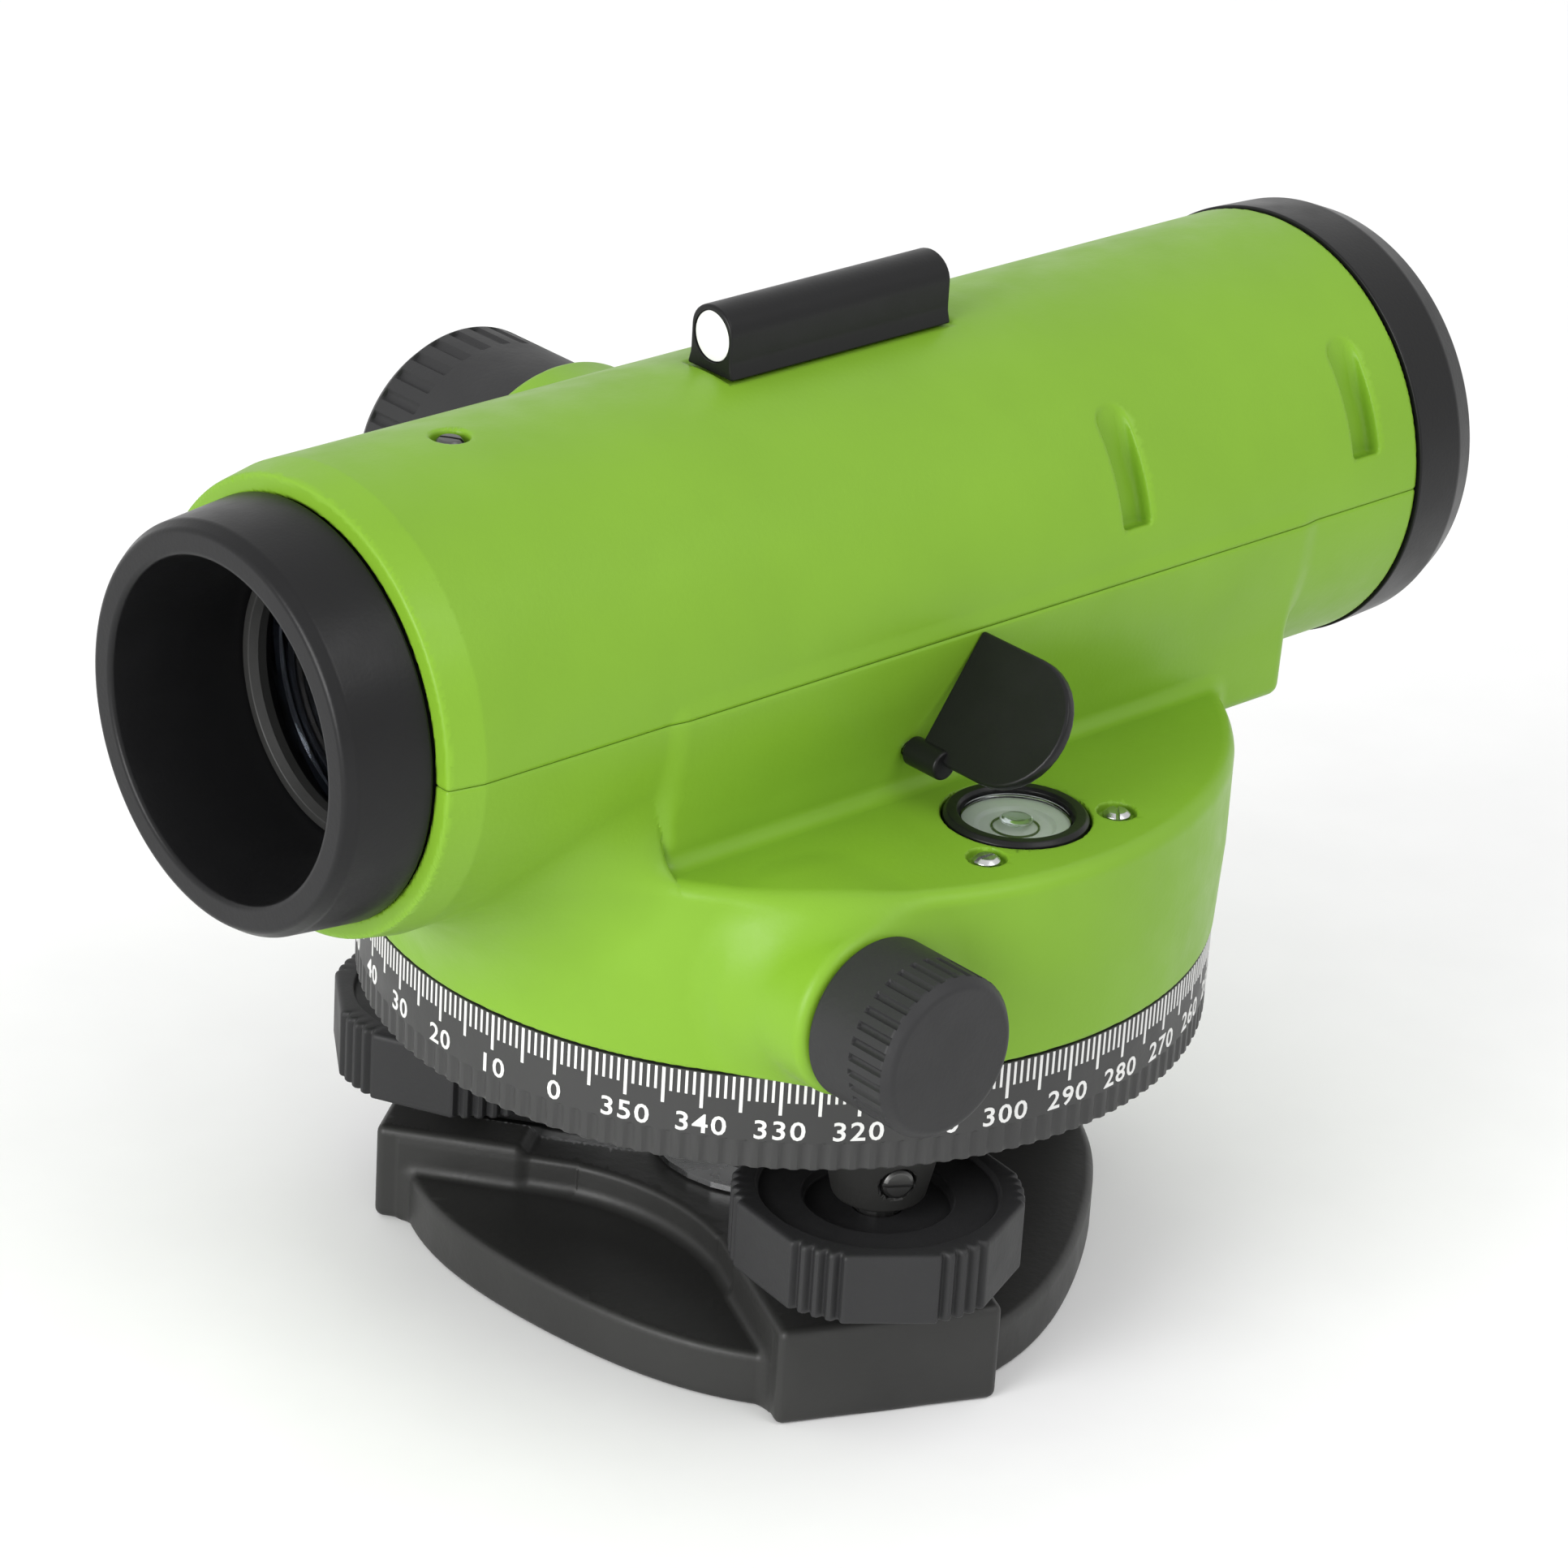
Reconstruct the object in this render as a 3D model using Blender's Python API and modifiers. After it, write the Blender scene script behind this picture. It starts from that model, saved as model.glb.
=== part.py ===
"""An automatic level: levelling base, graduated circle and telescope with its moving optics.

The origin is the centre of the base plate's underside, on the vertical turning axis. +Z is up, +Y is the
line of sight towards the objective and +X is the observer's right. Sizes are in millimetres until a point
is made, where MM turns them into metres.
"""

import math

import bmesh
import bpy
from mathutils import Matrix, Vector

MM = 0.001
GAP = 0.3
CUTTER_TWIST = 0.37

# Flats round a turned piece, by its size
FINE = 32
MEDIUM = 16
SMALL = 10

# Heights, which LIFT raises so that the underside of the base plate is at 0
LIFT = 2.8
UNDERSIDE = -LIFT
FLANGE_TOP = 4.8
STAR_TOP = 9.4
BOSS_TOP = 10.8
BALL_Z = 5.8
KNOB_BOTTOM = 15.5
KNOB_TOP = 25.2
SLEEVE_BOTTOM = 24.8
CIRCLE_BOTTOM = 35.7
CIRCLE_TOP = 48.2
SKIRT_Z = 48.5
DRIVE_Z = 59.8
DECK_Z = 73.1
SIGHT_AXIS_Z = 93.3

# Levelling base
FOOT_ANGLES = (156.5, 36.5, -83.5)
FOOT_R = 41.3
FLANGE_R_CORNER = 48.8
FLANGE_R_SIDE = 42.6
BOSS_FACE = 49.8
BOSS_WIDTH = 29.4
TRIPOD_HOLE_R = 7.2
SPRING_SCREW_R = 13.5
BALL_R = 5.0
ROD_R = 3.0
ROD_TOP = 38.7
SLEEVE_BORE_R = 4.1
SET_SCREW_R = 6.3
SET_SCREW_Z = 29.2
KNOB_R = 18.4

# Circle and drum
CIRCLE_R = 55.2
DRUM_R = 56.0
SPINDLE_R = 8.0
WHEEL_R = 28.0
DRIVE_Y = 32.6
WORM_R = 4.3
TANGENT_KNOB_R = 10.4

# Telescope
TUBE_R = 29.0
TUBE_BORE = 25.6
FRONT_Y = 80.0
REAR_Y = -82.0
NECK_X = 27.6
NECK_FRONT_Y = 45.5
NECK_REAR_Y = -61.8
FOCUS_Y = 13.8
FOCUS_BOSS_X = 33.0
FOCUS_KNOB_END = 54.0
FOCUS_KNOB_R = 16.0
PINION_R = 2.5
PLUG_X = 1.0
PLUG_Y = 57.5
VIAL_X = -40.5
VIAL_R = 9.05
VIAL_SCREW_R = 12.8
MIRROR_Y = 6.4
MIRROR_Z = 78.9
MIRROR_LEAN = 54.9
PENDULUM_Y = -28.0
PENDULUM_Z = 106.0

COLOURS = {
    "green_paint": ((0.27, 0.50, 0.05), 0.38, 0.0),
    "black_plastic": ((0.022, 0.022, 0.023), 0.5, 0.0),
    "black_metal": ((0.02, 0.02, 0.021), 0.42, 0.3),
    "steel": ((0.56, 0.57, 0.58), 0.3, 1.0),
    "brass": ((0.66, 0.48, 0.2), 0.3, 1.0),
    "glass": ((0.75, 0.85, 0.88), 0.05, 0.0),
    "mirror": ((0.9, 0.9, 0.9), 0.04, 1.0),
    "white_plastic": ((0.85, 0.85, 0.85), 0.4, 0.0),
}


def clear_scene():
    for obj in list(bpy.data.objects):
        bpy.data.objects.remove(obj, do_unlink=True)


def new_collection(name):
    collection = bpy.data.collections.new(name)
    bpy.context.scene.collection.children.link(collection)
    return collection


def new_material(name):
    colour, roughness, metallic = COLOURS[name]
    material = bpy.data.materials.new(name)
    material.use_nodes = True
    shader = material.node_tree.nodes["Principled BSDF"]
    shader.inputs["Base Color"].default_value = (*colour, 1.0)
    shader.inputs["Roughness"].default_value = roughness
    shader.inputs["Metallic"].default_value = metallic
    if name == "glass":
        shader.inputs["Transmission Weight"].default_value = 0.9
    return material


clear_scene()
PARTS = new_collection("automatic_level")
CUTTERS = new_collection("cutters")
MATERIALS = {name: new_material(name) for name in COLOURS}
TURN_TO = {
    "Z": (0, 0, 0),
    "Y": (-math.pi / 2, 0, 0),
    "-Y": (math.pi / 2, 0, 0),
    "X": (0, math.pi / 2, 0),
    "-X": (0, -math.pi / 2, 0),
}


def add_object(name, mesh, material, at=(0, 0, 0), turn=(0, 0, 0)):
    """An object of the part, or a hidden cutter where material is None."""
    obj = bpy.data.objects.new(name, mesh)
    obj.location = (Vector(at) + Vector((0, 0, LIFT))) * MM
    obj.rotation_euler = turn
    if material is None:
        CUTTERS.objects.link(obj)
        obj.hide_render = True
        obj.display_type = "WIRE"
    else:
        PARTS.objects.link(obj)
        mesh.materials.append(MATERIALS[material])
    return obj


def mesh_from(bm, name):
    mesh = bpy.data.meshes.new(name)
    bmesh.ops.recalc_face_normals(bm, faces=bm.faces)
    bm.to_mesh(mesh)
    bm.free()
    return mesh


def block(name, material, size, at, turn=(0, 0, 0), bevel=0.0):
    bm = bmesh.new()
    bmesh.ops.create_cube(bm, size=1.0, matrix=Matrix.Diagonal((*[side * MM for side in size], 1.0)))
    obj = add_object(name, mesh_from(bm, name), material, at, turn)
    if bevel:
        round_edges(obj, bevel)
    return obj


def round_edges(obj, width, segments=2):
    modifier = obj.modifiers.new("round", "BEVEL")
    modifier.width = width * MM
    modifier.segments = segments
    modifier.limit_method = "ANGLE"


def turned(name, material, profile, axis="Z", at=(0, 0, 0), steps=MEDIUM):
    """A turned solid. The profile is (radius, height) down its outer side, closed if it never meets the axis.

    A cutter starts its turn part of a step on, so that its edges never line up with those of what it cuts.
    """
    twist = math.tau * CUTTER_TWIST / steps if material is None else 0.0
    mesh = bpy.data.meshes.new(name)
    count = len(profile)
    edges = [(i, i + 1) for i in range(count - 1)]
    if profile[0][0] > 0:
        edges.append((count - 1, 0))
    points = [(r * math.cos(twist), r * math.sin(twist), h) for r, h in profile]
    mesh.from_pydata([Vector(point) * MM for point in points], edges, [])
    obj = add_object(name, mesh, material, at, TURN_TO[axis])
    screw = obj.modifiers.new("turn", "SCREW")
    screw.steps = steps
    screw.render_steps = steps
    screw.use_merge_vertices = True
    screw.merge_threshold = 0.00001
    screw.use_smooth_shade = True
    return obj


def disc(name, material, radius, low, high, axis="Z", at=(0, 0, 0), steps=MEDIUM, chamfer=0.0):
    profile = [(0, high), (radius - chamfer, high)]
    if chamfer:
        profile.append((radius, high - chamfer))
    profile += [(radius, low), (0, low)]
    return turned(name, material, profile, axis, at, steps)


def ring(name, material, outer, inner, low, high, axis="Z", at=(0, 0, 0), steps=FINE):
    profile = [(inner, high), (outer, high), (outer, low), (inner, low)]
    return turned(name, material, profile, axis, at, steps)


def plate(name, material, outline, thickness, at, turn=(0, 0, 0)):
    """A flat outline, centred on its thickness, made with a filled curve and turned into a mesh."""
    curve = bpy.data.curves.new(name, "CURVE")
    curve.dimensions = "2D"
    curve.fill_mode = "BOTH"
    curve.extrude = thickness * MM / 2
    spline = curve.splines.new("POLY")
    spline.points.add(len(outline) - 1)
    for point, (x, y) in zip(spline.points, outline):
        point.co = (x * MM, y * MM, 0, 1)
    spline.use_cyclic_u = True
    guide = bpy.data.objects.new(name + "_outline", curve)
    CUTTERS.objects.link(guide)
    evaluated = guide.evaluated_get(bpy.context.evaluated_depsgraph_get())
    bm = bmesh.new()
    bm.from_mesh(bpy.data.meshes.new_from_object(evaluated))
    bmesh.ops.remove_doubles(bm, verts=bm.verts, dist=0.000001)
    bpy.data.objects.remove(guide, do_unlink=True)
    return add_object(name, mesh_from(bm, name), material, at, turn)


def combine(target, others, operation):
    """One Boolean with all the others at once, which have a collection of their own among the cutters."""
    step = len(target.modifiers)
    group = bpy.data.collections.new(f"{target.name}_{operation.lower()}_{step}")
    CUTTERS.children.link(group)
    for other in others:
        group.objects.link(other)
        CUTTERS.objects.unlink(other)
    modifier = target.modifiers.new(group.name, "BOOLEAN")
    modifier.operation = operation
    modifier.solver = "EXACT"
    modifier.operand_type = "COLLECTION"
    modifier.collection = group
    return target


def join(target, *others):
    return combine(target, others, "UNION")


def cut(target, *others):
    return combine(target, others, "DIFFERENCE")


def smooth(obj, angle=35.0):
    obj.data.shade_smooth()
    obj.data.set_sharp_from_angle(angle=math.radians(angle))
    return obj


def polar(radius, angle, height=0.0):
    a = math.radians(angle)
    return (radius * math.cos(a), radius * math.sin(a), height)


def pivot(name, at, parent=None):
    """An empty on a joint's axis, which the pieces of one moving body are parented to."""
    empty = bpy.data.objects.new(name, None)
    empty.location = (Vector(at) + Vector((0, 0, LIFT))) * MM
    PARTS.objects.link(empty)
    bpy.context.view_layer.update()
    if parent:
        hang(parent, empty)
    return empty


def hang(parent, *pieces):
    for piece in pieces:
        piece.parent = parent
        piece.matrix_parent_inverse = parent.matrix_world.inverted()
    bpy.context.view_layer.update()


# ---------------------------------------------------------------- base


def flange_outline(steps=45):
    """A convex triangle with soft corners, one corner at each foot."""
    middle = (FLANGE_R_CORNER + FLANGE_R_SIDE) / 2
    swing = (FLANGE_R_CORNER - FLANGE_R_SIDE) / 2
    points = []
    for i in range(steps):
        angle = 360.0 * i / steps
        radius = middle + swing * math.cos(math.radians(3 * (angle - FOOT_ANGLES[0])))
        points.append(polar(radius, angle)[:2])
    return points


def star_outline(half_width=14.2, arm_end=46.0, hollow=32.0, arc_steps=6):
    """Three arms towards the feet, with round hollows between them that run into the arms' sides."""
    centre_r = (half_width + hollow) / math.sin(math.radians(60))
    points = []
    for foot in sorted(FOOT_ANGLES):
        turn = Matrix.Rotation(math.radians(foot), 2)
        points += [tuple(turn @ Vector((arm_end, side * half_width))) for side in (-1, 1)]
        centre_x, centre_y, _ = polar(centre_r, foot + 60)
        for i in range(arc_steps + 1):
            x, y, _ = polar(hollow, foot + 270 - 60 * i / arc_steps)
            points.append((centre_x + x, centre_y + y))
    return points


def make_base_plate():
    base = plate("base_plate", "black_metal", flange_outline(), FLANGE_TOP - UNDERSIDE,
                 (0, 0, (FLANGE_TOP + UNDERSIDE) / 2))
    star_height = STAR_TOP - UNDERSIDE - 1.0
    solids = [plate("star", None, star_outline(), star_height, (0, 0, STAR_TOP - star_height / 2))]
    hollows = [disc("tripod_hole", None, TRIPOD_HOLE_R, UNDERSIDE - 5, 20)]
    for i, angle in enumerate(FOOT_ANGLES, 1):
        turn = (0, 0, math.radians(angle))
        depth = BOSS_FACE - 30.0
        boss = block(f"boss_{i}", None, (depth, BOSS_WIDTH, BOSS_TOP - UNDERSIDE),
                     polar(BOSS_FACE - depth / 2, angle, (BOSS_TOP + UNDERSIDE) / 2), turn, bevel=1.2)
        seat = block(f"arm_seat_{i}", None, (30, 16, 8), polar(31.3, angle, STAR_TOP + 4), turn)
        socket_floor = BALL_Z - BALL_R - GAP
        socket = disc(f"socket_{i}", None, BALL_R + GAP, socket_floor, 20, at=polar(FOOT_R, angle))
        screw_at = polar(SPRING_SCREW_R, angle)
        screw_floor = STAR_TOP - 7.0
        screw_hole = disc(f"spring_screw_hole_{i}", None, 1.8, screw_floor, 20, at=screw_at, steps=SMALL)
        solids.append(boss)
        hollows += [seat, socket, screw_hole]
    join(base, *solids)
    return cut(base, *hollows)


def spring_outline(arm_half_width=5.5, hub=16.0, arm_end=44.3, slot_half_width=3.6):
    """A round hub with three arms, each forked round the neck of a foot screw's ball."""
    points = []
    for foot in sorted(FOOT_ANGLES):
        turn = Matrix.Rotation(math.radians(foot), 2)
        inner = math.sqrt(hub**2 - arm_half_width**2)
        slot_start = FOOT_R - slot_half_width
        arm = [(inner, -arm_half_width), (arm_end, -arm_half_width), (arm_end, -slot_half_width)]
        arm += [(slot_start, -slot_half_width), (slot_start, slot_half_width)]
        arm += [(arm_end, slot_half_width), (arm_end, arm_half_width), (inner, arm_half_width)]
        points += [tuple(turn @ Vector(p)) for p in arm]
        side = math.degrees(math.asin(arm_half_width / hub))
        for i in range(1, 6):
            points.append(polar(hub, foot + side + (120 - 2 * side) * i / 6)[:2])
    return points


def make_spring_plate():
    spring = plate("spring_plate", "steel", spring_outline(), 0.8, (0, 0, STAR_TOP + GAP + 0.4))
    hollows = [disc("spring_centre", None, 11.0, 5, 20)]
    head = [(0, 2.6), (2.3, 2.6), (2.6, 2.2), (2.6, 1.4), (1.5, 1.4), (1.5, -5.0), (0, -5.0)]
    profile = [(radius, STAR_TOP + height) for radius, height in head]
    screws = []
    for i, angle in enumerate(FOOT_ANGLES, 1):
        at = polar(SPRING_SCREW_R, angle)
        hollows.append(disc(f"spring_hole_{i}", None, 1.8, 5, 20, at=at, steps=SMALL))
        screws.append(turned(f"spring_plate_screw_{i}", "steel", profile, at=at, steps=SMALL))
    cut(spring, *hollows)
    return [spring, *screws]


def make_foot_spindle(name, at):
    """Ball end, neck and threaded rod."""
    start = math.asin(ROD_R / BALL_R)
    profile = [(0, ROD_TOP), (ROD_R - 0.5, ROD_TOP), (ROD_R, ROD_TOP - 0.5)]
    for i in range(5):
        a = start + (math.pi - start) * i / 4
        profile.append((BALL_R * math.sin(a) if i < 4 else 0, BALL_Z + BALL_R * math.cos(a)))
    return turned(name, "steel", profile, at=at)


def knob_outline(facets=6, grooves=2, facet_span=36.0, groove_depth=0.7):
    """Flat facets between grooved arcs, with the middle of a facet at angle 0."""
    points = []
    pitch = 360.0 / facets
    arc_span = pitch - facet_span
    for k in range(facets):
        start = pitch * k + facet_span / 2
        steps = 2 * grooves
        for i in range(steps + 1):
            depth = groove_depth if i % 2 and 0 < i < steps else 0.0
            points.append(polar(KNOB_R - depth, start + arc_span * i / steps)[:2])
    return points


def make_foot_knob(name, at, angle):
    height = KNOB_TOP - KNOB_BOTTOM
    knob = plate(name, "black_plastic", knob_outline(), height,
                 (at[0], at[1], KNOB_BOTTOM + height / 2), (0, 0, math.radians(angle)))
    recess = [(0, 30), (15.2, 30), (15.2, 24.4), (9.4, 24.0), (9.2, 22.6), (0, 22.6)]
    bore = disc(name + "_bore", None, ROD_R + GAP, 10, 30, at=at, steps=SMALL)
    return cut(knob, turned(name + "_recess", None, recess, at=at), bore)


# ---------------------------------------------------------------- levelling head and circle


def make_head_plate():
    profile = [(0, 44.5), (19.0, 44.5), (19.5, 44.0), (19.5, 40.6), (47.0, 40.6), (47.5, 40.1), (47.5, 36.6)]
    profile += [(18.0, 36.6), (17.0, 31.0), (0, 31.0)]
    head = turned("head_plate", "black_metal", profile, steps=FINE)
    sleeves = []
    hollows = [disc("head_bore", None, SPINDLE_R + GAP, 20, 60)]
    for i, angle in enumerate(FOOT_ANGLES, 1):
        at = polar(FOOT_R, angle)
        sleeve = [(0, 38.0), (7.35, 38.0), (7.35, 32.0), (5.9, SLEEVE_BOTTOM + 0.6), (5.5, SLEEVE_BOTTOM)]
        sleeves.append(turned(f"sleeve_{i}", None, sleeve + [(0, SLEEVE_BOTTOM)], at=at, steps=16))
        hollows.append(disc(f"sleeve_bore_{i}", None, SLEEVE_BORE_R, 20, 45, at=at, steps=SMALL))
        hole_at = polar(FOOT_R + SET_SCREW_R, angle, SET_SCREW_Z)
        hole = disc(f"set_screw_hole_{i}", None, 2.3, -0.9, 6, "Z", hole_at, SMALL)
        hole.rotation_euler = (0, math.pi / 2, math.radians(angle))
        hollows.append(hole)
    join(head, *sleeves)
    return cut(head, *hollows)


def make_set_screw(index, angle):
    at = polar(FOOT_R + SET_SCREW_R, angle, SET_SCREW_Z)
    screw = disc(f"sleeve_set_screw_{index}", "steel", 2.0, -0.6, 0.8, "Z", at, SMALL)
    screw.rotation_euler = (0, math.pi / 2, math.radians(angle))
    slot = block(f"set_screw_slot_{index}", None, (0.8, 0.7, 5), polar(FOOT_R + SET_SCREW_R + 1.0, angle, SET_SCREW_Z),
                 (0, 0, math.radians(angle)))
    return cut(screw, slot)


def make_centre_spindle():
    profile = [(0, 66.0), (SPINDLE_R - 0.6, 66.0), (SPINDLE_R, 65.4), (SPINDLE_R, 30.7), (12.0, 30.7)]
    profile += [(12.0, 29.2), (0, 29.2)]
    return turned("centre_spindle", "steel", profile)


def make_spindle_nut():
    profile = [(0, 68.6), (8.5, 68.6), (9.4, 68.0), (9.4, 66.3), (0, 66.3)]
    return turned("spindle_nut", "brass", profile)


def make_circle():
    """The graduated ring with a thin web that turns on the head's hub."""
    profile = [(51.6, CIRCLE_TOP), (CIRCLE_R - 0.4, CIRCLE_TOP), (CIRCLE_R, CIRCLE_TOP - 0.5)]
    profile += [(CIRCLE_R, CIRCLE_BOTTOM + 0.5), (CIRCLE_R - 0.5, CIRCLE_BOTTOM), (51.6, CIRCLE_BOTTOM)]
    profile += [(51.6, 41.2), (19.9, 41.2), (19.9, 43.8), (51.6, 43.8)]
    return turned("graduated_circle", "black_plastic", profile, steps=36)


# ---------------------------------------------------------------- housing


def fairing_section(s, curve_steps=4):
    """One vertical section of the front fairing, from the tube's underside down to the drum's wall.

    s runs from -1 to 1 across the front. The section sweeps in a hollow curve, and its last two points
    lie inside the drum and the tube.
    """
    side = abs(s)
    sweep = math.degrees(math.asin((NECK_X + 4.6) / DRUM_R)) * s
    wall = Vector(polar(DRUM_R - 1.0, 90.0 - sweep, SKIRT_Z + 20.0 * side**1.5))
    lean = math.radians(80.0 * s)
    top = Vector(((TUBE_R - 0.4) * math.sin(lean),
                  NECK_FRONT_Y + 30.0 * math.cos(math.pi / 2 * side),
                  SIGHT_AXIS_Z - (TUBE_R - 0.4) * math.cos(lean)))
    centre_bend = Vector((wall.x, wall.y + 0.5, top.z))
    side_bend = Vector((top.x, top.y, wall.z + 6.0))
    bend = centre_bend.lerp(side_bend, side**2)
    points = []
    for i in range(curve_steps + 1):
        t = i / curve_steps
        points.append(top * (1 - t) ** 2 + bend * 2 * t * (1 - t) + wall * t**2)
    points.append(Vector((wall.x, wall.y, SKIRT_Z + 0.05 - 0.01 * side)))
    points.append(Vector((wall.x * 0.6, 30.0, SKIRT_Z + 0.05)))
    points.append(Vector((top.x * 0.5, 30.0, SIGHT_AXIS_Z - 6.0)))
    return [point * MM for point in points]


def make_fairing(sections=9):
    """The loft through the fairing's sections, closed at both ends."""
    bm = bmesh.new()
    rows = []
    for i in range(sections):
        points = fairing_section(-1 + 2 * i / (sections - 1))
        rows.append([bm.verts.new(point) for point in points])
    count = len(rows[0])
    for first, second in zip(rows, rows[1:]):
        for j in range(count):
            k = (j + 1) % count
            bm.faces.new((first[j], first[k], second[k], second[j]))
    bm.faces.new(rows[0])
    bm.faces.new(rows[-1])
    bmesh.ops.triangulate(bm, faces=bm.faces)
    return add_object("fairing", mesh_from(bm, "fairing"), None)


def tube_profile():
    return [(0, FRONT_Y), (TUBE_R - 1.2, FRONT_Y), (TUBE_R - 0.3, FRONT_Y - 2.0), (TUBE_R, FRONT_Y - 5.0),
            (TUBE_R, REAR_Y), (0, REAR_Y)]


def along_y(outline, length, name, material, middle_y):
    return plate(name, material, outline, length, (0, middle_y, 0), (math.pi / 2, 0, 0))


def seam_side(name, upper):
    """The half-space that the seam takes away: below it for the upper shell, above it for the lower one."""
    edge = SIGHT_AXIS_Z + (0.15 if upper else -0.15)
    centre = edge - 60 if upper else edge + 60
    return block(name, None, (200, 260, 120), (0, 0, centre))


def focus_boss(name):
    return disc(name, None, 18.2, 0, FOCUS_BOSS_X - 10, "X", (10, FOCUS_Y, SIGHT_AXIS_Z), 40, chamfer=1.0)


def focus_bore(name):
    return disc(name, None, PINION_R + 1.0, 0, 60, "X", (0, FOCUS_Y, SIGHT_AXIS_Z), SMALL)


def tube_bore(name):
    return disc(name, None, TUBE_BORE, -95, 95, "Y", (0, 0, SIGHT_AXIS_Z), FINE)


def make_lower_housing():
    """Drum, neck, fairing and the lower half of the telescope tube, hollowed out."""
    drum = [(0, DECK_Z), (DRUM_R - 2.0, DECK_Z), (DRUM_R - 0.5, DECK_Z - 0.6), (DRUM_R, DECK_Z - 2.2)]
    drum += [(DRUM_R, 60.0), (DRUM_R - 0.6, SKIRT_Z), (0, SKIRT_Z)]
    body = turned("lower_housing", "green_paint", drum, steps=40)
    join(body, make_fairing())
    pockets = []
    solids = [turned("lower_tube", None, tube_profile(), "Y", (0, 0, SIGHT_AXIS_Z), FINE)]
    for side, tag in ((-1, "left"), (1, "right")):
        pocket_length = NECK_FRONT_Y + 70.0
        pockets.append(block(f"pocket_{tag}", None, (40, pocket_length, 40),
                             (side * (NECK_X + 20), NECK_FRONT_Y - pocket_length / 2, DECK_Z + 20)))
        solids.append(disc(f"drive_boss_{tag}", None, 10.9, 0, 14.6, "X" if side > 0 else "-X",
                           (side * 36, DRIVE_Y, DRIVE_Z), chamfer=1.6))
    cut(body, *pockets)
    neck = [(-28.6, 93.6), (-NECK_X, 84), (-27.0, 68.0), (27.0, 68.0), (NECK_X, 84), (28.6, 93.6)]
    neck_block = along_y(neck, 50.0 - NECK_REAR_Y, "neck", None, (50.0 + NECK_REAR_Y) / 2)
    round_edges(neck_block, 1.8)
    join(body, *solids, neck_block, focus_boss("lower_focus_boss"))
    inner = [(0, 69.6), (52.0, 69.6), (52.4, 69.0), (52.4, 40.0), (0, 40.0)]
    cut(body, turned("drum_cavity", None, inner, steps=FINE))
    join(body, disc("drum_hub", None, 13.5, 46.3, 70.5))
    hollows = [disc("drum_hub_bore", None, 10.3, 40.0, 69.4), tube_bore("lower_bore")]
    hollows.append(block("neck_cavity", None, (47, 97, 24), (0, -9.5, 89)))
    hollows += [seam_side("above_seam", upper=False), focus_bore("lower_focus_bore")]
    hollows.append(disc("vial_hole", None, VIAL_R + GAP, 60, 90, at=(VIAL_X, 0, 0)))
    for i, (x, y) in enumerate(vial_screw_places(), 1):
        hollows.append(disc(f"vial_screw_seat_{i}", None, 2.5, DECK_Z - 1.2, 80, at=(x, y, 0), steps=SMALL))
        hollows.append(disc(f"vial_screw_hole_{i}", None, 1.3, 60, 75, at=(x, y, 0), steps=SMALL))
    hollows.append(disc("drive_hole", None, 2.5 + 0.4, -70, 70, "X", (0, DRIVE_Y, DRIVE_Z), SMALL))
    hollows.append(disc("mirror_pin_hole", None, 1.0 + GAP, 20, 32, "-X", (0, MIRROR_Y, MIRROR_Z), SMALL))
    return cut(body, *hollows)


def make_upper_housing():
    """The upper half of the tube, with the sight's seat, the plug screw's hole and two grip slots a side."""
    body = turned("upper_housing", "green_paint", tube_profile(), "Y", (0, 0, SIGHT_AXIS_Z), FINE)
    join(body, focus_boss("upper_focus_boss"))
    hollows = [tube_bore("upper_bore"), seam_side("below_seam", upper=True), focus_bore("upper_focus_bore")]
    hollows.append(block("sight_seat", None, (9.0, 37.4, 4), (0, -0.25, 123.6)))
    hollows.append(disc("plug_seat", None, 2.4, 120.6, 126, at=(PLUG_X, PLUG_Y, 0), steps=SMALL))
    hollows.append(disc("plug_hole", None, 1.3, 110, 122, at=(PLUG_X, PLUG_Y, 0), steps=SMALL))
    for side, tag in ((-1, "left"), (1, "right")):
        for y in (-30.5, -72.5):
            slot = block(f"grip_slot_{tag}_{int(-y)}", None, (5, 4.6, 19), (side * 27.6, y, 107.4),
                         (0, math.radians(side * -14), 0), bevel=1.4)
            hollows.append(slot)
    return cut(body, *hollows)


def vial_screw_places():
    """Centres of the two adjusting screws, on the outer side of the vial."""
    places = [polar(VIAL_SCREW_R, angle) for angle in (120, -120)]
    return [(VIAL_X + x, y) for x, y, _ in places]


def make_bearing_bush():
    return ring("bearing_bush", "brass", 10.0, SPINDLE_R + 0.1, 46.0, 65.8)


# ---------------------------------------------------------------- sight, vial and mirror


def make_sight():
    outline = [(-4.2, 0), (4.2, 0), (3.7, 2.0), (3.7, 5.4)]
    for degrees in range(30, 151, 30):
        x, z, _ = polar(1.0, degrees)
        outline.append((3.7 * x, 5.4 + 3.3 * z))
    outline += [(-3.7, 5.4), (-3.7, 2.0)]
    body = plate("sight_body", "black_plastic", outline, 36.5, (0, -0.25, 121.9), (math.pi / 2, 0, 0))
    cut(body, disc("sight_bore", None, 3.2, -30, 30, "Y", (0, 0, 126.6), MEDIUM))
    window = disc("sight_lens", "white_plastic", 2.9, 14.0, 17.9, "Y", (0, 0, 126.6), MEDIUM)
    return [body, window]


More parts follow.
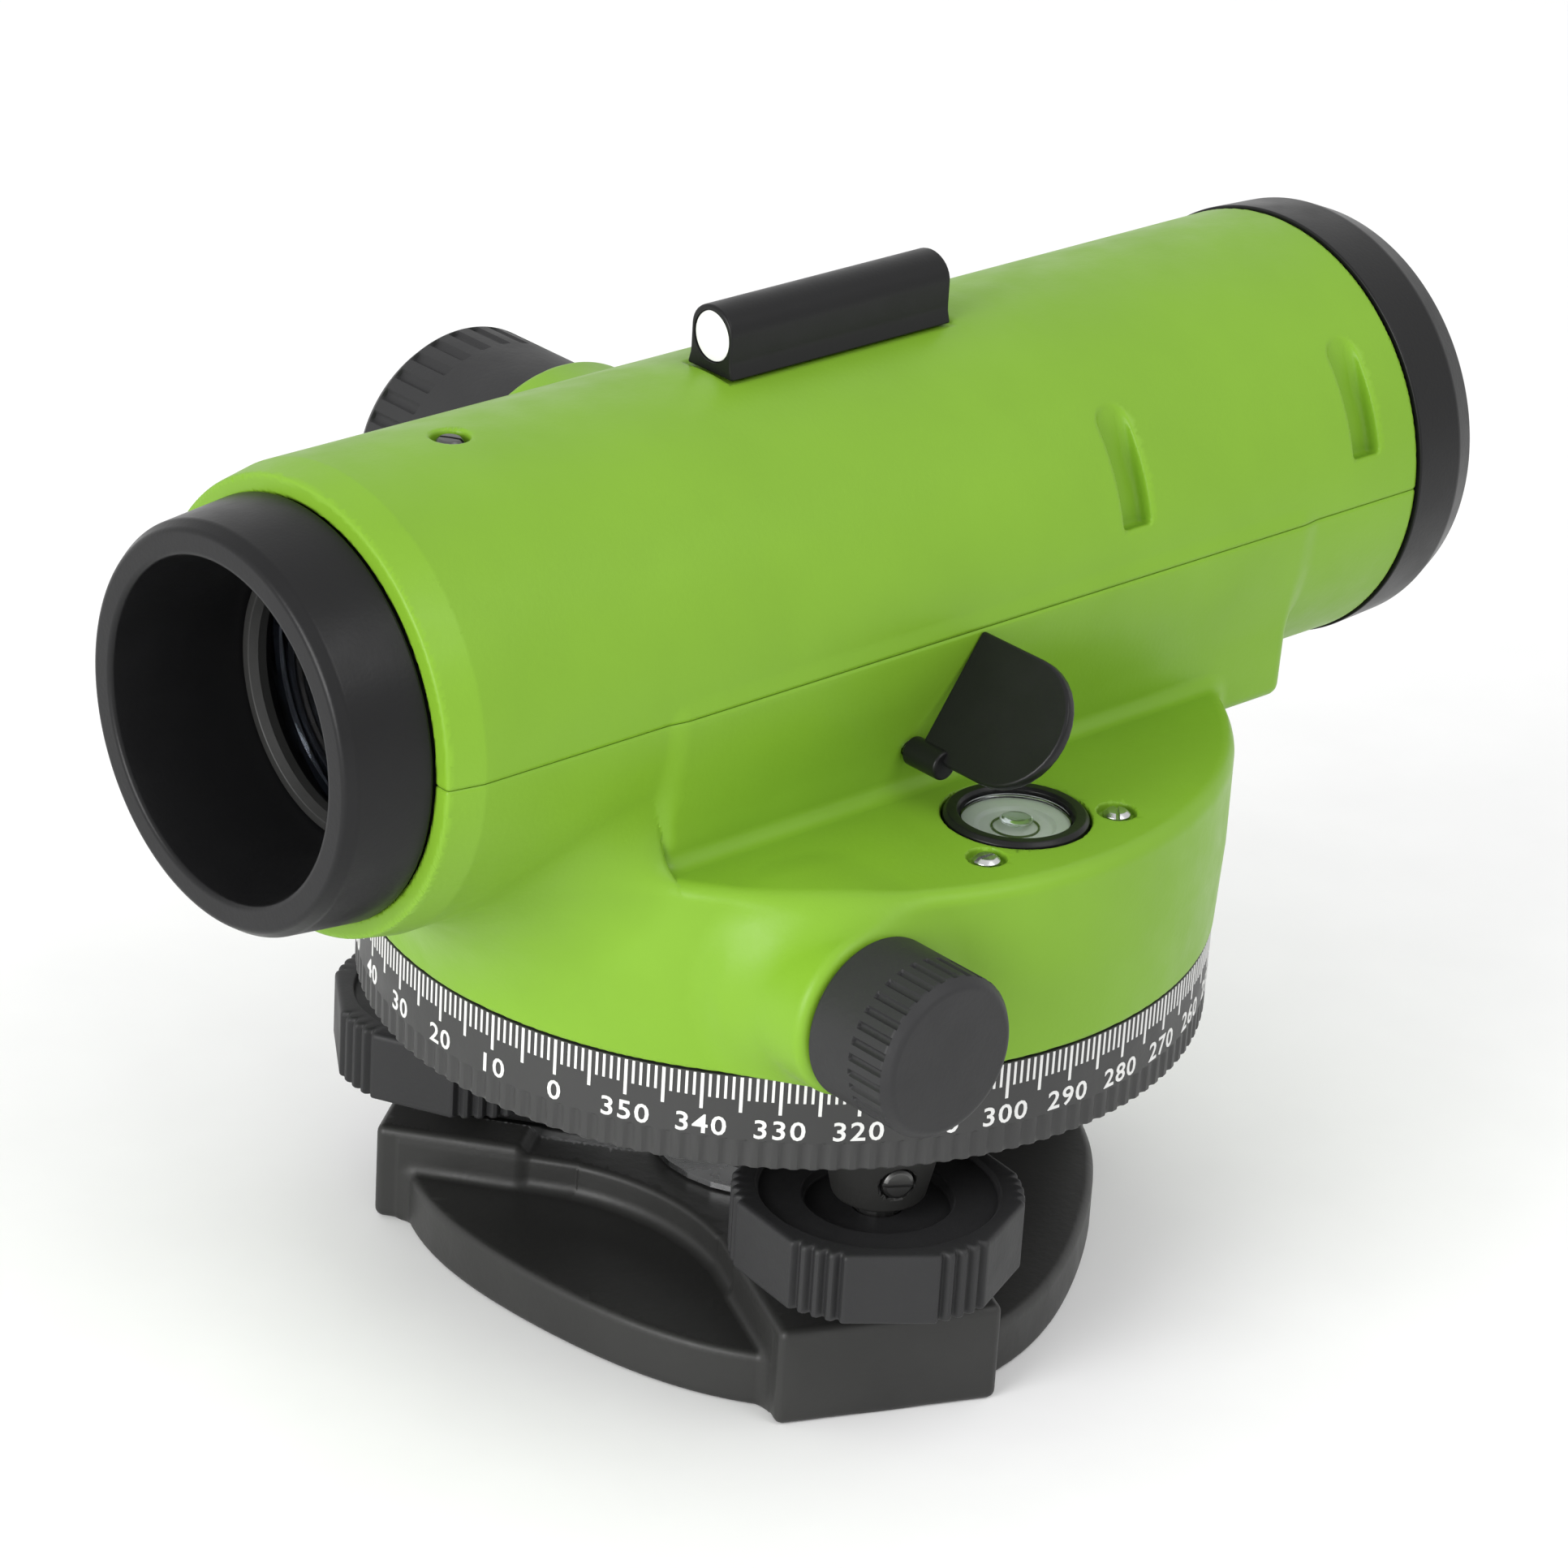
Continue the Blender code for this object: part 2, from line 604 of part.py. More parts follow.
def make_vial():
    cup = [(0, 65.0), (7.1, 65.0), (7.1, 73.6), (8.6, 73.6), (VIAL_R, 73.2), (VIAL_R, 63.5), (0, 63.5)]
    glass = [(0, 73.4), (6.2, 73.2), (6.8, 72.8), (6.8, 65.3), (0, 65.3)]
    body = turned("vial_cup", "black_plastic", cup, at=(VIAL_X, 0, 0))
    vial = turned("vial_glass", "glass", glass, at=(VIAL_X, 0, 0))
    screws = []
    for i, (x, y) in enumerate(vial_screw_places(), 1):
        profile = [(0, 73.3), (1.5, 73.3), (1.8, 73.0), (1.8, 72.2), (1.0, 72.2), (1.0, 66.0), (0, 66.0)]
        screw = turned(f"vial_screw_{i}", "steel", profile, at=(x, y, 0), steps=SMALL)
        slot = block(f"vial_screw_slot_{i}", None, (5, 0.5, 1), (x, y, 73.3), (0, 0, math.radians(30)))
        screws.append(cut(screw, slot))
    return [body, vial, *screws]


def mirror_frame():
    """Turn that carries a flat piece's local +Y up the leaning mirror, with local +X to the left."""
    up = math.pi - math.radians(MIRROR_LEAN)
    return Matrix.Rotation(up, 3, "X") @ Matrix.Diagonal((-1, 1, -1))


def mirror_outline(inset=0.0):
    """A straight inner edge and a round outer end."""
    points = [(1.4 + inset, 17.0 - inset), (1.4 + inset, 1.0 + inset), (7.0, inset)]
    centre_x, centre_y, radius = 12.6, 8.5, 8.5 - inset
    for d in range(-90, 91, 20):
        a = math.radians(d)
        points.append((centre_x + radius * math.cos(a), centre_y + radius * math.sin(a)))
    return points


def make_mirror():
    turn = mirror_frame().to_euler()
    at = (-NECK_X, MIRROR_Y, MIRROR_Z)
    normal = mirror_frame() @ Vector((0, 0, 1))
    body = plate("mirror_plate", "black_plastic", mirror_outline(), 1.6, at, turn)
    join(body, disc("mirror_barrel", None, 2.1, 0.6, 6.4, "-X", at, MEDIUM))
    cut(body, disc("mirror_bore", None, 1.0 + GAP, 0, 5.3, "-X", at, SMALL))
    side = 1 if normal.z < 0 else -1
    face_at = Vector(at) + normal * side * (0.8 + GAP + 0.4)
    glass = plate("mirror_glass", "mirror", [(x, y) for x, y in mirror_outline(1.2) if y > 3.2],
                  0.8, face_at, turn)
    pin = disc("mirror_pin", "steel", 1.0, -3.3, 4.9, "-X", at, SMALL)
    return body, glass, pin


# ---------------------------------------------------------------- objective and eyepiece


def make_objective():
    outer = [(20.5, 91.9), (23.9, 91.9), (24.6, 91.4), (24.9, 90.4), (26.1, 80.4), (25.2, 80.4), (25.2, 62.4)]
    inner = [(16.0, 62.4), (16.0, 64.3), (18.6, 64.3), (18.6, 80.0)]
    body = turned("objective_ring", "black_plastic", outer + inner, "Y", (0, 0, SIGHT_AXIS_Z), FINE)
    lens = [(0, 72.4), (9.0, 72.0), (18.3, 70.2), (18.3, 64.6), (0, 64.6)]
    glass = turned("objective_lens", "glass", lens, "Y", (0, 0, SIGHT_AXIS_Z), FINE)
    retainer = ring("lens_retainer", "black_metal", 18.3, 16.6, 72.2, 74.4, "Y", (0, 0, SIGHT_AXIS_Z), FINE)
    return [body, glass, retainer]


def make_eyepiece():
    """Fixed cover, turning dioptre ring and the lens cell that it drives."""
    at = (0, 0, SIGHT_AXIS_Z)
    outer = [(12.2, -70.0), (25.2, -70.0), (25.2, -82.3), (29.4, -82.3), (28.9, -90.5), (27.6, -94.0)]
    outer += [(26.0, -95.0), (23.0, -95.0), (15.4, -90.0), (15.4, -84.0), (12.2, -84.0)]
    cover = turned("eyepiece_mount", "black_plastic", outer, "Y", at, FINE)
    ring_profile = [(11.4, -84.4), (14.6, -84.4), (14.6, -101.4), (13.6, -102.6), (10.0, -102.6)]
    ring_profile += [(9.6, -100.0), (11.4, -98.0)]
    dioptre = turned("dioptre_ring", "black_plastic", ring_profile, "Y", at, FINE)
    cell = turned("eyepiece_cell", "black_metal",
                  [(7.0, -75.0), (11.0, -75.0), (11.0, -94.0), (7.0, -94.0)], "Y", at, MEDIUM)
    lens = disc("eyepiece_lens", "glass", 6.7, -92.5, -88.0, "Y", at, MEDIUM)
    return cover, dioptre, cell, lens


def make_reticle():
    at = (0, 0, SIGHT_AXIS_Z)
    cell = ring("reticle_cell", "black_metal", 25.2, 8.0, -64.0, -60.5, "Y", at)
    glass = disc("reticle_glass", "glass", 7.7, -63.2, -61.4, "Y", at, MEDIUM)
    return [cell, glass]


# ---------------------------------------------------------------- focusing


def make_focus_barrel():
    at = (0, 0, SIGHT_AXIS_Z)
    barrel = ring("focus_barrel", "black_metal", 21.8, 20.0, -4.0, 62.0, "Y", at)
    return cut(barrel, block("rack_slot", None, (14, 56, 15), (22, 22, SIGHT_AXIS_Z)))


def make_focus_cell():
    """The sliding lens cell, notched for the pinion, with its rack bar."""
    at = (0, 0, SIGHT_AXIS_Z)
    cell = ring("focus_cell", "black_metal", 19.6, 15.0, 14.0, 33.0, "Y", at, FINE)
    cut(cell, block("pinion_notch", None, (10, 40, 6.3), (22.3, 22, SIGHT_AXIS_Z + 0.2)))
    join(cell, block("rack", None, (2.8, 32.0, 3.2), (18.6, 14.0, SIGHT_AXIS_Z - 4.5)))
    lens = disc("focus_lens", "glass", 14.7, 20.0, 24.0, "Y", at, MEDIUM)
    return cell, lens


def make_focus_drive():
    at = (0, FOCUS_Y, SIGHT_AXIS_Z)
    shaft = [(0, 48.0), (PINION_R + 0.6, 48.0), (PINION_R + 0.6, 23.2), (PINION_R, 22.6), (PINION_R, 18.0)]
    pinion = turned("focus_shaft", "steel", shaft + [(0, 18.0)], "X", at, MEDIUM)
    start = FOCUS_BOSS_X + 0.5
    knob = [(0, FOCUS_KNOB_END), (13.6, FOCUS_KNOB_END), (15.3, FOCUS_KNOB_END - 1.2)]
    knob += [(FOCUS_KNOB_R, FOCUS_KNOB_END - 3.0), (FOCUS_KNOB_R, start + 1.0), (15.2, start), (0, start)]
    grip = turned("focus_knob", "black_plastic", knob, "X", at, FINE)
    cut(grip, disc("focus_knob_bore", None, PINION_R + 0.6 + GAP, 30, 48.4, "X", at, SMALL))
    return pinion, grip


# ---------------------------------------------------------------- compensator


def make_compensator():
    """A fixed cradle with two prisms and damping magnets."""
    y = PENDULUM_Y
    frame = block("compensator_frame", "black_metal", (32, 42, 2.4), (0, y, 79.4))
    walls = [block(f"cradle_wall_{tag}", None, (2, 41.6, 29), (side * 14.9, y, 92.8))
             for side, tag in ((-1, "left"), (1, "right"))]
    join(frame, *walls, block("cradle_beam", None, (31, 5, 3.4), (0, y, 108.4)))
    front = block("front_prism", "glass", (16, 9, 12), (0, y + 15.5, 88.0), bevel=0.4)
    rear = block("rear_prism", "glass", (16, 9, 12), (0, y - 15.5, 88.0), bevel=0.4)
    magnets = []
    for side, i in ((-1, 1), (1, 2)):
        magnets.append(block(f"damper_magnet_{i}", "steel", (4, 10, 3.2), (side * 9.0, y, 82.6)))
    return [frame, front, rear, *magnets]


def make_pendulum():
    """The hanging arm, with its damping vane between the magnets and the moving prism in its yoke."""
    y = PENDULUM_Y
    arm = block("pendulum", "brass", (20, 3, 20), (0, y, 95.7))
    cut(arm, block("pendulum_window", None, (12, 8, 12), (0, y, 95.0)))
    join(arm, block("pendulum_vane", None, (10, 7, 5.5), (0, y, 84.2)))
    prism = block("pendulum_prism", "glass", (11.2, 10, 11.2), (0, y, 95.0), bevel=0.4)
    return arm, prism


# ---------------------------------------------------------------- tangent drive


def make_tangent_drive():
    at = (0, DRIVE_Y, DRIVE_Z)
    half = [(WORM_R, 13.0), (2.5, 15.0), (2.5, 61.0), (0, 61.0)]
    profile = [(r, x) for r, x in reversed(half)] + [(r, -x) for r, x in half]
    shaft = turned("tangent_shaft", "steel", profile, "X", at, MEDIUM)
    knobs = []
    for side, tag in (("-X", "left"), ("X", "right")):
        outline = [(0, 64.9), (8.8, 64.9), (10.0, 64.1), (TANGENT_KNOB_R, 63.0), (TANGENT_KNOB_R, 51.8)]
        outline += [(9.8, 51.1), (0, 51.1)]
        knob = turned(f"tangent_knob_{tag}", "black_plastic", outline, side, at, MEDIUM)
        knobs.append(cut(knob, disc(f"tangent_bore_{tag}", None, 2.5 + GAP, 45, 61.6, side, at, SMALL)))
    return [shaft, *knobs]


def make_worm_wheel():
    wheel = [(13.9, 62.6), (WHEEL_R, 62.6), (WHEEL_R, 57.0), (13.9, 57.0)]
    return turned("worm_wheel", "brass", wheel, steps=FINE)


# ---------------------------------------------------------------- assembly


def build():
    make_base_plate()
    make_spring_plate()
    ball_1 = polar(FOOT_R, FOOT_ANGLES[0], BALL_Z)
    ball_2 = polar(FOOT_R, FOOT_ANGLES[1], BALL_Z)
    ball_3 = polar(FOOT_R, FOOT_ANGLES[2], BALL_Z)
    tilt_at = [(a + b) / 2 for a, b in zip(ball_2, ball_3)]
    head = pivot("head_pivot", tilt_at)
    hang(head, make_head_plate(), make_centre_spindle(), make_spindle_nut())
    for i, (angle, ball) in enumerate(zip(FOOT_ANGLES, (ball_1, ball_2, ball_3)), 1):
        hang(head, make_set_screw(i, angle))
        foot = pivot(f"foot_{i}_pivot", ball, head if i > 1 else None)
        at = (ball[0], ball[1], 0)
        hang(foot, make_foot_spindle(f"foot_spindle_{i}", at), make_foot_knob(f"foot_knob_{i}", at, angle))
    circle = pivot("circle_pivot", (0, 0, CIRCLE_BOTTOM), head)
    hang(circle, make_circle())
    turret = pivot("telescope_pivot", (0, 0, SKIRT_Z), head)
    hang(turret, make_lower_housing(), make_upper_housing(), make_bearing_bush(), *make_sight(), *make_vial())
    plug = [(0, 122.1), (1.6, 122.1), (1.9, 121.8), (1.9, 121.0), (1.0, 121.0), (1.0, 117.5), (0, 117.5)]
    hang(turret, turned("plug_screw", "steel", plug, at=(PLUG_X, PLUG_Y, 0), steps=SMALL))
    hang(turret, *make_objective(), *make_reticle(), make_focus_barrel(), *make_compensator())
    plate_body, mirror_glass, mirror_pin = make_mirror()
    hang(turret, mirror_pin)
    mirror = pivot("mirror_pivot", (-NECK_X, MIRROR_Y, MIRROR_Z), turret)
    hang(mirror, plate_body, mirror_glass)
    cover, dioptre, cell, lens = make_eyepiece()
    hang(turret, cover)
    hang(pivot("dioptre_pivot", (0, -94, SIGHT_AXIS_Z), turret), dioptre)
    hang(pivot("eyepiece_slide", (0, -85, SIGHT_AXIS_Z), turret), cell, lens)
    hang(pivot("focus_knob_pivot", (FOCUS_BOSS_X, FOCUS_Y, SIGHT_AXIS_Z), turret), *make_focus_drive())
    hang(pivot("focus_slide", (0, 22, SIGHT_AXIS_Z), turret), *make_focus_cell())
    hang(pivot("pendulum_pivot", (0, PENDULUM_Y, PENDULUM_Z), turret), *make_pendulum())
    hang(pivot("drive_pivot", (0, DRIVE_Y, DRIVE_Z), turret), *make_tangent_drive())
    hang(pivot("worm_wheel_pivot", (0, 0, DRIVE_Z), turret), make_worm_wheel())
    for obj in PARTS.objects:
        if obj.type == "MESH":
            smooth(obj)


build()
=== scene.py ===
"""The automatic level's fine visual model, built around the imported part.

Sizes are in millimetres and heights are the part's own, so that LIFT is added when a mesh is made. The two
housing shells, the base and the head are meshed from distance fields, which give their cast fillets. The
turned pieces are profiles swept round an axis, and the smaller ones are outlines with rounded edges.
"""

import math

import bmesh
import bpy
import numpy as np
import openvdb
from mathutils import Matrix, Vector


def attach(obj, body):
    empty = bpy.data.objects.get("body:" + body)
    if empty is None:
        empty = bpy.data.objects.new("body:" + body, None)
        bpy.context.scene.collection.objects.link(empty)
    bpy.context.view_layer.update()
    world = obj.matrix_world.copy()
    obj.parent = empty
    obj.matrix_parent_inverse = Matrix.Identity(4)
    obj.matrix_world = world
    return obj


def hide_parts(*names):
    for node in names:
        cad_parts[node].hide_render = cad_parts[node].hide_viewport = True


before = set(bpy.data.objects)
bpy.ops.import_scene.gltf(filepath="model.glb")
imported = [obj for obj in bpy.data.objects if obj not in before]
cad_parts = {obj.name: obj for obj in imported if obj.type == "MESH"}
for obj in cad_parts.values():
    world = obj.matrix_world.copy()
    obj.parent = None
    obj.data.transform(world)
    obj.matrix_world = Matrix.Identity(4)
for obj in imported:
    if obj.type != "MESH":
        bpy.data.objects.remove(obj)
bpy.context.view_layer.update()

MM = 0.001
LIFT = 2.8
VOXEL = 0.5
ADAPTIVITY = 0.0004
REACH = 3
MOST_FACES = 180_000

SKIRT_Z = 48.5
DECK_Z = 73.1
SIGHT_AXIS_Z = 93.3
SEAM_GAP = 0.05
FOOT_ANGLES = (156.5, 36.5, -83.5)
FOOT_R = 41.3
KNOB_TURNS = (-13.0, 19.5, 0.0)
SET_SCREW_R = 6.3
SET_SCREW_Z = 29.2
SLEEVE = (24.5, 38.0)
CIRCLE_R = 55.2
CIRCLE_TOP = 48.2
CIRCLE_BOTTOM = 35.7
DRIVE_Y = 32.6
DRIVE_Z = 59.8
FOCUS_Y = 13.8
GRIP_MIDDLES = (-30.5, -72.5)
GRIP_FLOOR_R = 26.6
SIGHT_BORE_Z = 126.6
VIAL_X = -40.5
VIAL_SCREWS = ((-46.9, 11.085), (-46.9, -11.085))
PLUG = (1.0, 57.5)
MIRROR_AT = (-27.6, 6.4, 78.9)
MIRROR_LEAN = 54.9
ZERO_ANGLE = 107.9


# ---------------------------------------------------------------- materials


def noise(nodes, links, coords, scale, detail=3.0):
    node = nodes.new("ShaderNodeTexNoise")
    node.inputs["Scale"].default_value = scale
    node.inputs["Detail"].default_value = detail
    links.new(coords.outputs["Object"], node.inputs["Vector"])
    return node.outputs["Fac"]


def ranged(nodes, links, value, low, high):
    node = nodes.new("ShaderNodeMapRange")
    node.inputs["From Min"].default_value = 0.3
    node.inputs["From Max"].default_value = 0.7
    node.inputs["To Min"].default_value = low
    node.inputs["To Max"].default_value = high
    links.new(value, node.inputs["Value"])
    return node.outputs["Result"]


def finish(name, colour, rough, metallic=0.0, specular=0.5, grain=900.0, bump=0.05, mottle=0.06, swing=0.05,
           anisotropy=0.0):
    """A shader whose colour drifts slowly, whose gloss varies in patches and whose surface has a fine grain."""
    material = bpy.data.materials.new(name)
    material.use_nodes = True
    nodes, links = material.node_tree.nodes, material.node_tree.links
    shader = nodes["Principled BSDF"]
    shader.inputs["Metallic"].default_value = metallic
    shader.inputs["Specular IOR Level"].default_value = specular
    shader.inputs["Anisotropic"].default_value = anisotropy
    coords = nodes.new("ShaderNodeTexCoord")
    blend = nodes.new("ShaderNodeMix")
    blend.data_type = "RGBA"
    blend.inputs["A"].default_value = (*[c * (1 - mottle) for c in colour], 1.0)
    blend.inputs["B"].default_value = (*[min(1.0, c * (1 + mottle)) for c in colour], 1.0)
    links.new(ranged(nodes, links, noise(nodes, links, coords, 55.0), 0.0, 1.0), blend.inputs["Factor"])
    links.new(blend.outputs["Result"], shader.inputs["Base Color"])
    patches = noise(nodes, links, coords, 190.0, 5.0)
    links.new(ranged(nodes, links, patches, rough - swing, rough + swing), shader.inputs["Roughness"])
    relief = nodes.new("ShaderNodeBump")
    relief.inputs["Strength"].default_value = bump
    relief.inputs["Distance"].default_value = 0.0002
    links.new(noise(nodes, links, coords, grain, 2.0), relief.inputs["Height"])
    links.new(relief.outputs["Normal"], shader.inputs["Normal"])
    return material


def clear(name, tint, rough, ior):
    material = finish(name, tint, rough, bump=0.01, mottle=0.01, swing=0.01)
    shader = material.node_tree.nodes["Principled BSDF"]
    shader.inputs["Transmission Weight"].default_value = 1.0
    shader.inputs["IOR"].default_value = ior
    return material


MATERIALS = {
    "green_paint": finish("green_paint", (0.180, 0.356, 0.023), 0.40, specular=0.25, grain=1400.0, bump=0.10,
                          mottle=0.035, swing=0.06),
    "black_plastic": finish("black_plastic", (0.008, 0.008, 0.0085), 0.34, specular=0.22, grain=1800.0, bump=0.08),
    "black_metal": finish("black_metal", (0.024, 0.024, 0.023), 0.46, specular=0.35, grain=1100.0, bump=0.14,
                          mottle=0.12),
    "circle_band": finish("circle_band", (0.034, 0.034, 0.034), 0.48, specular=0.4, grain=1800.0, bump=0.08),
    "dark_steel": finish("dark_steel", (0.11, 0.11, 0.108), 0.34, metallic=0.9, grain=2200.0, bump=0.05),
    "steel": finish("steel", (0.58, 0.585, 0.59), 0.27, metallic=1.0, grain=2200.0, bump=0.04),
    "brass": finish("brass", (0.66, 0.48, 0.20), 0.30, metallic=1.0, grain=2200.0, bump=0.04),
    "white_plastic": finish("white_plastic", (0.86, 0.86, 0.85), 0.35, grain=900.0, bump=0.02, mottle=0.02),
    "mirror": finish("mirror", (0.88, 0.89, 0.90), 0.06, metallic=1.0, bump=0.004, mottle=0.01, swing=0.02),
    "glass": clear("glass", (0.93, 0.96, 0.97), 0.03, 1.5),
    "grip_rubber": finish("grip_rubber", (0.021, 0.021, 0.022), 0.52, specular=0.3, grain=1500.0, bump=0.16),
    "lens_glass": clear("lens_glass", (0.50, 0.56, 0.66), 0.03, 1.45),
    "marking_paint": finish("marking_paint", (0.70, 0.70, 0.69), 0.5, grain=1500.0, bump=0.05, mottle=0.03),
}


# ---------------------------------------------------------------- pieces


def add(name, mesh, body, slot, replaces=(), material=None):
    obj = bpy.data.objects.new(name, mesh)
    bpy.context.scene.collection.objects.link(obj)
    mesh.materials.clear()
    mesh.materials.append(MATERIALS[material or slot])
    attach(obj, body)
    if replaces:
        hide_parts(*replaces)
    return obj


def mesh_of(name, points, faces):
    """A smooth mesh from points in millimetres."""
    mesh = bpy.data.meshes.new(name)
    scaled = (np.asarray(points, float) + (0, 0, LIFT)) * MM
    mesh.from_pydata(scaled.tolist(), [], [list(face) for face in faces])
    mesh.shade_smooth()
    return mesh


def weigh(obj, angle=32.0):
    """Hard edges where the surface turns sharply, and flat faces kept flat beside small fillets."""
    obj.data.set_sharp_from_angle(angle=math.radians(angle))
    modifier = obj.modifiers.new("flats", "WEIGHTED_NORMAL")
    modifier.keep_sharp = True
    return obj


AXES = {
    "Z": Matrix.Identity(3),
    "Y": Matrix(((1, 0, 0), (0, 0, 1), (0, -1, 0))),
    "X": Matrix(((0, 0, 1), (0, 1, 0), (-1, 0, 0))),
    "-X": Matrix(((0, 0, -1), (0, 1, 0), (1, 0, 0))),
}


def filleted(profile, arc_steps=4):
    """The closed profile with each corner that has a third number, its radius, turned into an arc."""
    points = []
    count = len(profile)
    for i, corner in enumerate(profile):
        radius = corner[2] if len(corner) > 2 else 0
        here = Vector(corner[:2])
        if not radius:
            points.append(tuple(here))
            continue
        before = Vector(profile[i - 1][:2]) - here
        after = Vector(profile[(i + 1) % count][:2]) - here
        half = before.angle(after) / 2
        reach = min(radius / math.tan(half), before.length * 0.49, after.length * 0.49)
        start, end = here + before.normalized() * reach, here + after.normalized() * reach
        for step in range(arc_steps + 1):
            t = step / arc_steps
            points.append(tuple(start * (1 - t) ** 2 + here * 2 * t * (1 - t) + end * t * t))
    return points


def lathe(name, profile, axis="Z", at=(0, 0, 0), steps=96, ribs=None, arc_steps=4):
    """A swept profile of (radius, height), closed on itself or on the axis.

    Where ribs is given, it turns an angle into a depth, which the corners between its two heights lose.
    """
    points = filleted(profile, arc_steps)
    angles = np.arange(steps) * math.tau / steps
    cos, sin = np.cos(angles), np.sin(angles)
    rows, verts = [], []
    depths = ribs[0](angles) if ribs else None
    for radius, height in points:
        if radius < 1e-6:
            rows.append([len(verts)])
            verts.append((0.0, 0.0, height))
            continue
        radii = np.full(steps, radius)
        if ribs and ribs[1] - 1e-6 <= height <= ribs[2] + 1e-6 and radius > ribs[3]:
            radii = radii - depths
        rows.append(list(range(len(verts), len(verts) + steps)))
        verts += list(zip(radii * cos, radii * sin, [height] * steps))
    faces = []
    for first, second in zip(rows, rows[1:] + rows[:1]):
        if len(first) == 1 and len(second) == 1:
            continue
        for i in range(steps):
            k = (i + 1) % steps
            quad = [first[i % len(first)], second[i % len(second)], second[k % len(second)], first[k % len(first)]]
            faces.append(list(dict.fromkeys(quad)))
    turn = np.array(AXES[axis])
    moved = np.array(verts) @ turn.T + np.array(at)
    mesh = mesh_of(name, moved, faces)
    face_out(mesh)
    return mesh


def face_out(mesh):
    bm = bmesh.new()
    bm.from_mesh(mesh)
    bmesh.ops.recalc_face_normals(bm, faces=bm.faces)
    bm.to_mesh(mesh)
    bm.free()


def prism(name, outline, low, high, bevel=0.0, frame_turn=None, at=(0, 0, 0), segments=3):
    """An outline pushed from one height to another, with all its rims rounded, then turned and moved."""
    bm = bmesh.new()
    rings = [[bm.verts.new((x, y, h)) for x, y in outline] for h in (low, high)]
    for ring in rings:
        bm.faces.new(ring)
    for i in range(len(outline)):
        k = (i + 1) % len(outline)
        bm.faces.new((rings[0][i], rings[0][k], rings[1][k], rings[1][i]))
    bmesh.ops.recalc_face_normals(bm, faces=bm.faces)
    if bevel:
        sharp = [e for e in bm.edges if e.calc_face_angle(0) > math.radians(35)]
        bmesh.ops.bevel(bm, geom=sharp, offset=bevel, segments=segments, profile=0.5, affect="EDGES")
    turn = np.array(frame_turn or Matrix.Identity(3))
    points = np.array([v.co for v in bm.verts]) @ turn.T + np.array(at)
    bm.verts.index_update()
    faces = [[v.index for v in f.verts] for f in bm.faces]
    bm.free()
    mesh = mesh_of(name, points, faces)
    face_out(mesh)
    return mesh


def carved(mesh, *cutters):
    """The mesh less the cutters, which are meshes too."""
    target = bpy.data.objects.new("target", mesh)
    bpy.context.scene.collection.objects.link(target)
    helpers = []
    for cutter in cutters:
        helper = bpy.data.objects.new("cutter", cutter)
        bpy.context.scene.collection.objects.link(helper)
        helpers.append(helper)
        modifier = target.modifiers.new("cut", "BOOLEAN")
        modifier.operation = "DIFFERENCE"
        modifier.solver = "EXACT"
        modifier.object = helper
    made = bpy.data.meshes.new_from_object(target.evaluated_get(bpy.context.evaluated_depsgraph_get()))
    for helper in (*helpers, target):
        bpy.data.objects.remove(helper)
    made.name = mesh.name
    return made


# ---------------------------------------------------------------- distance fields


def capped(along, radial, radius, low, high, edge=0.0):
    """Distance to a round bar with soft rims, from how far a point is along its axis and out from it."""
    out = radial - radius + edge
    past = np.maximum(low - along, along - high) + edge
    return np.minimum(np.maximum(out, past), 0) + np.hypot(np.maximum(out, 0), np.maximum(past, 0)) - edge


def boxed(dx, dy, dz, edge=0.0):
    """Distance to a box with soft edges, from how far a point is outside it along each axis."""
    dx, dy, dz = dx + edge, dy + edge, dz + edge
    outside = np.sqrt(np.maximum(dx, 0) ** 2 + np.maximum(dy, 0) ** 2 + np.maximum(dz, 0) ** 2)
    return np.minimum(np.maximum(np.maximum(dx, dy), dz), 0) + outside - edge


def merged(a, b, fillet):
    return np.maximum(fillet, np.minimum(a, b)) - np.hypot(np.maximum(fillet - a, 0), np.maximum(fillet - b, 0))


def less(a, b, rounding):
    return -merged(-a, b, rounding)


def grip(x, y, z, middle):
    """A finger groove, from the surface at its top down into the wall, and never through it."""
    across = np.abs(x) - 20.3
    drop = z - 114.0
    down = 0.350 * across - 0.937 * drop
    out = 0.937 * across + 0.350 * drop
    half = 8.0
    corner = np.where(down < half, 2.3, 0.6)
    slot = boxed(np.abs(down - half) - half, np.abs(y - middle) - 2.4, -100.0, corner)
    wall = np.hypot(x, z - SIGHT_AXIS_Z) - GRIP_FLOOR_R
    return less(less(slot, out, 1.1), wall, 0.3)


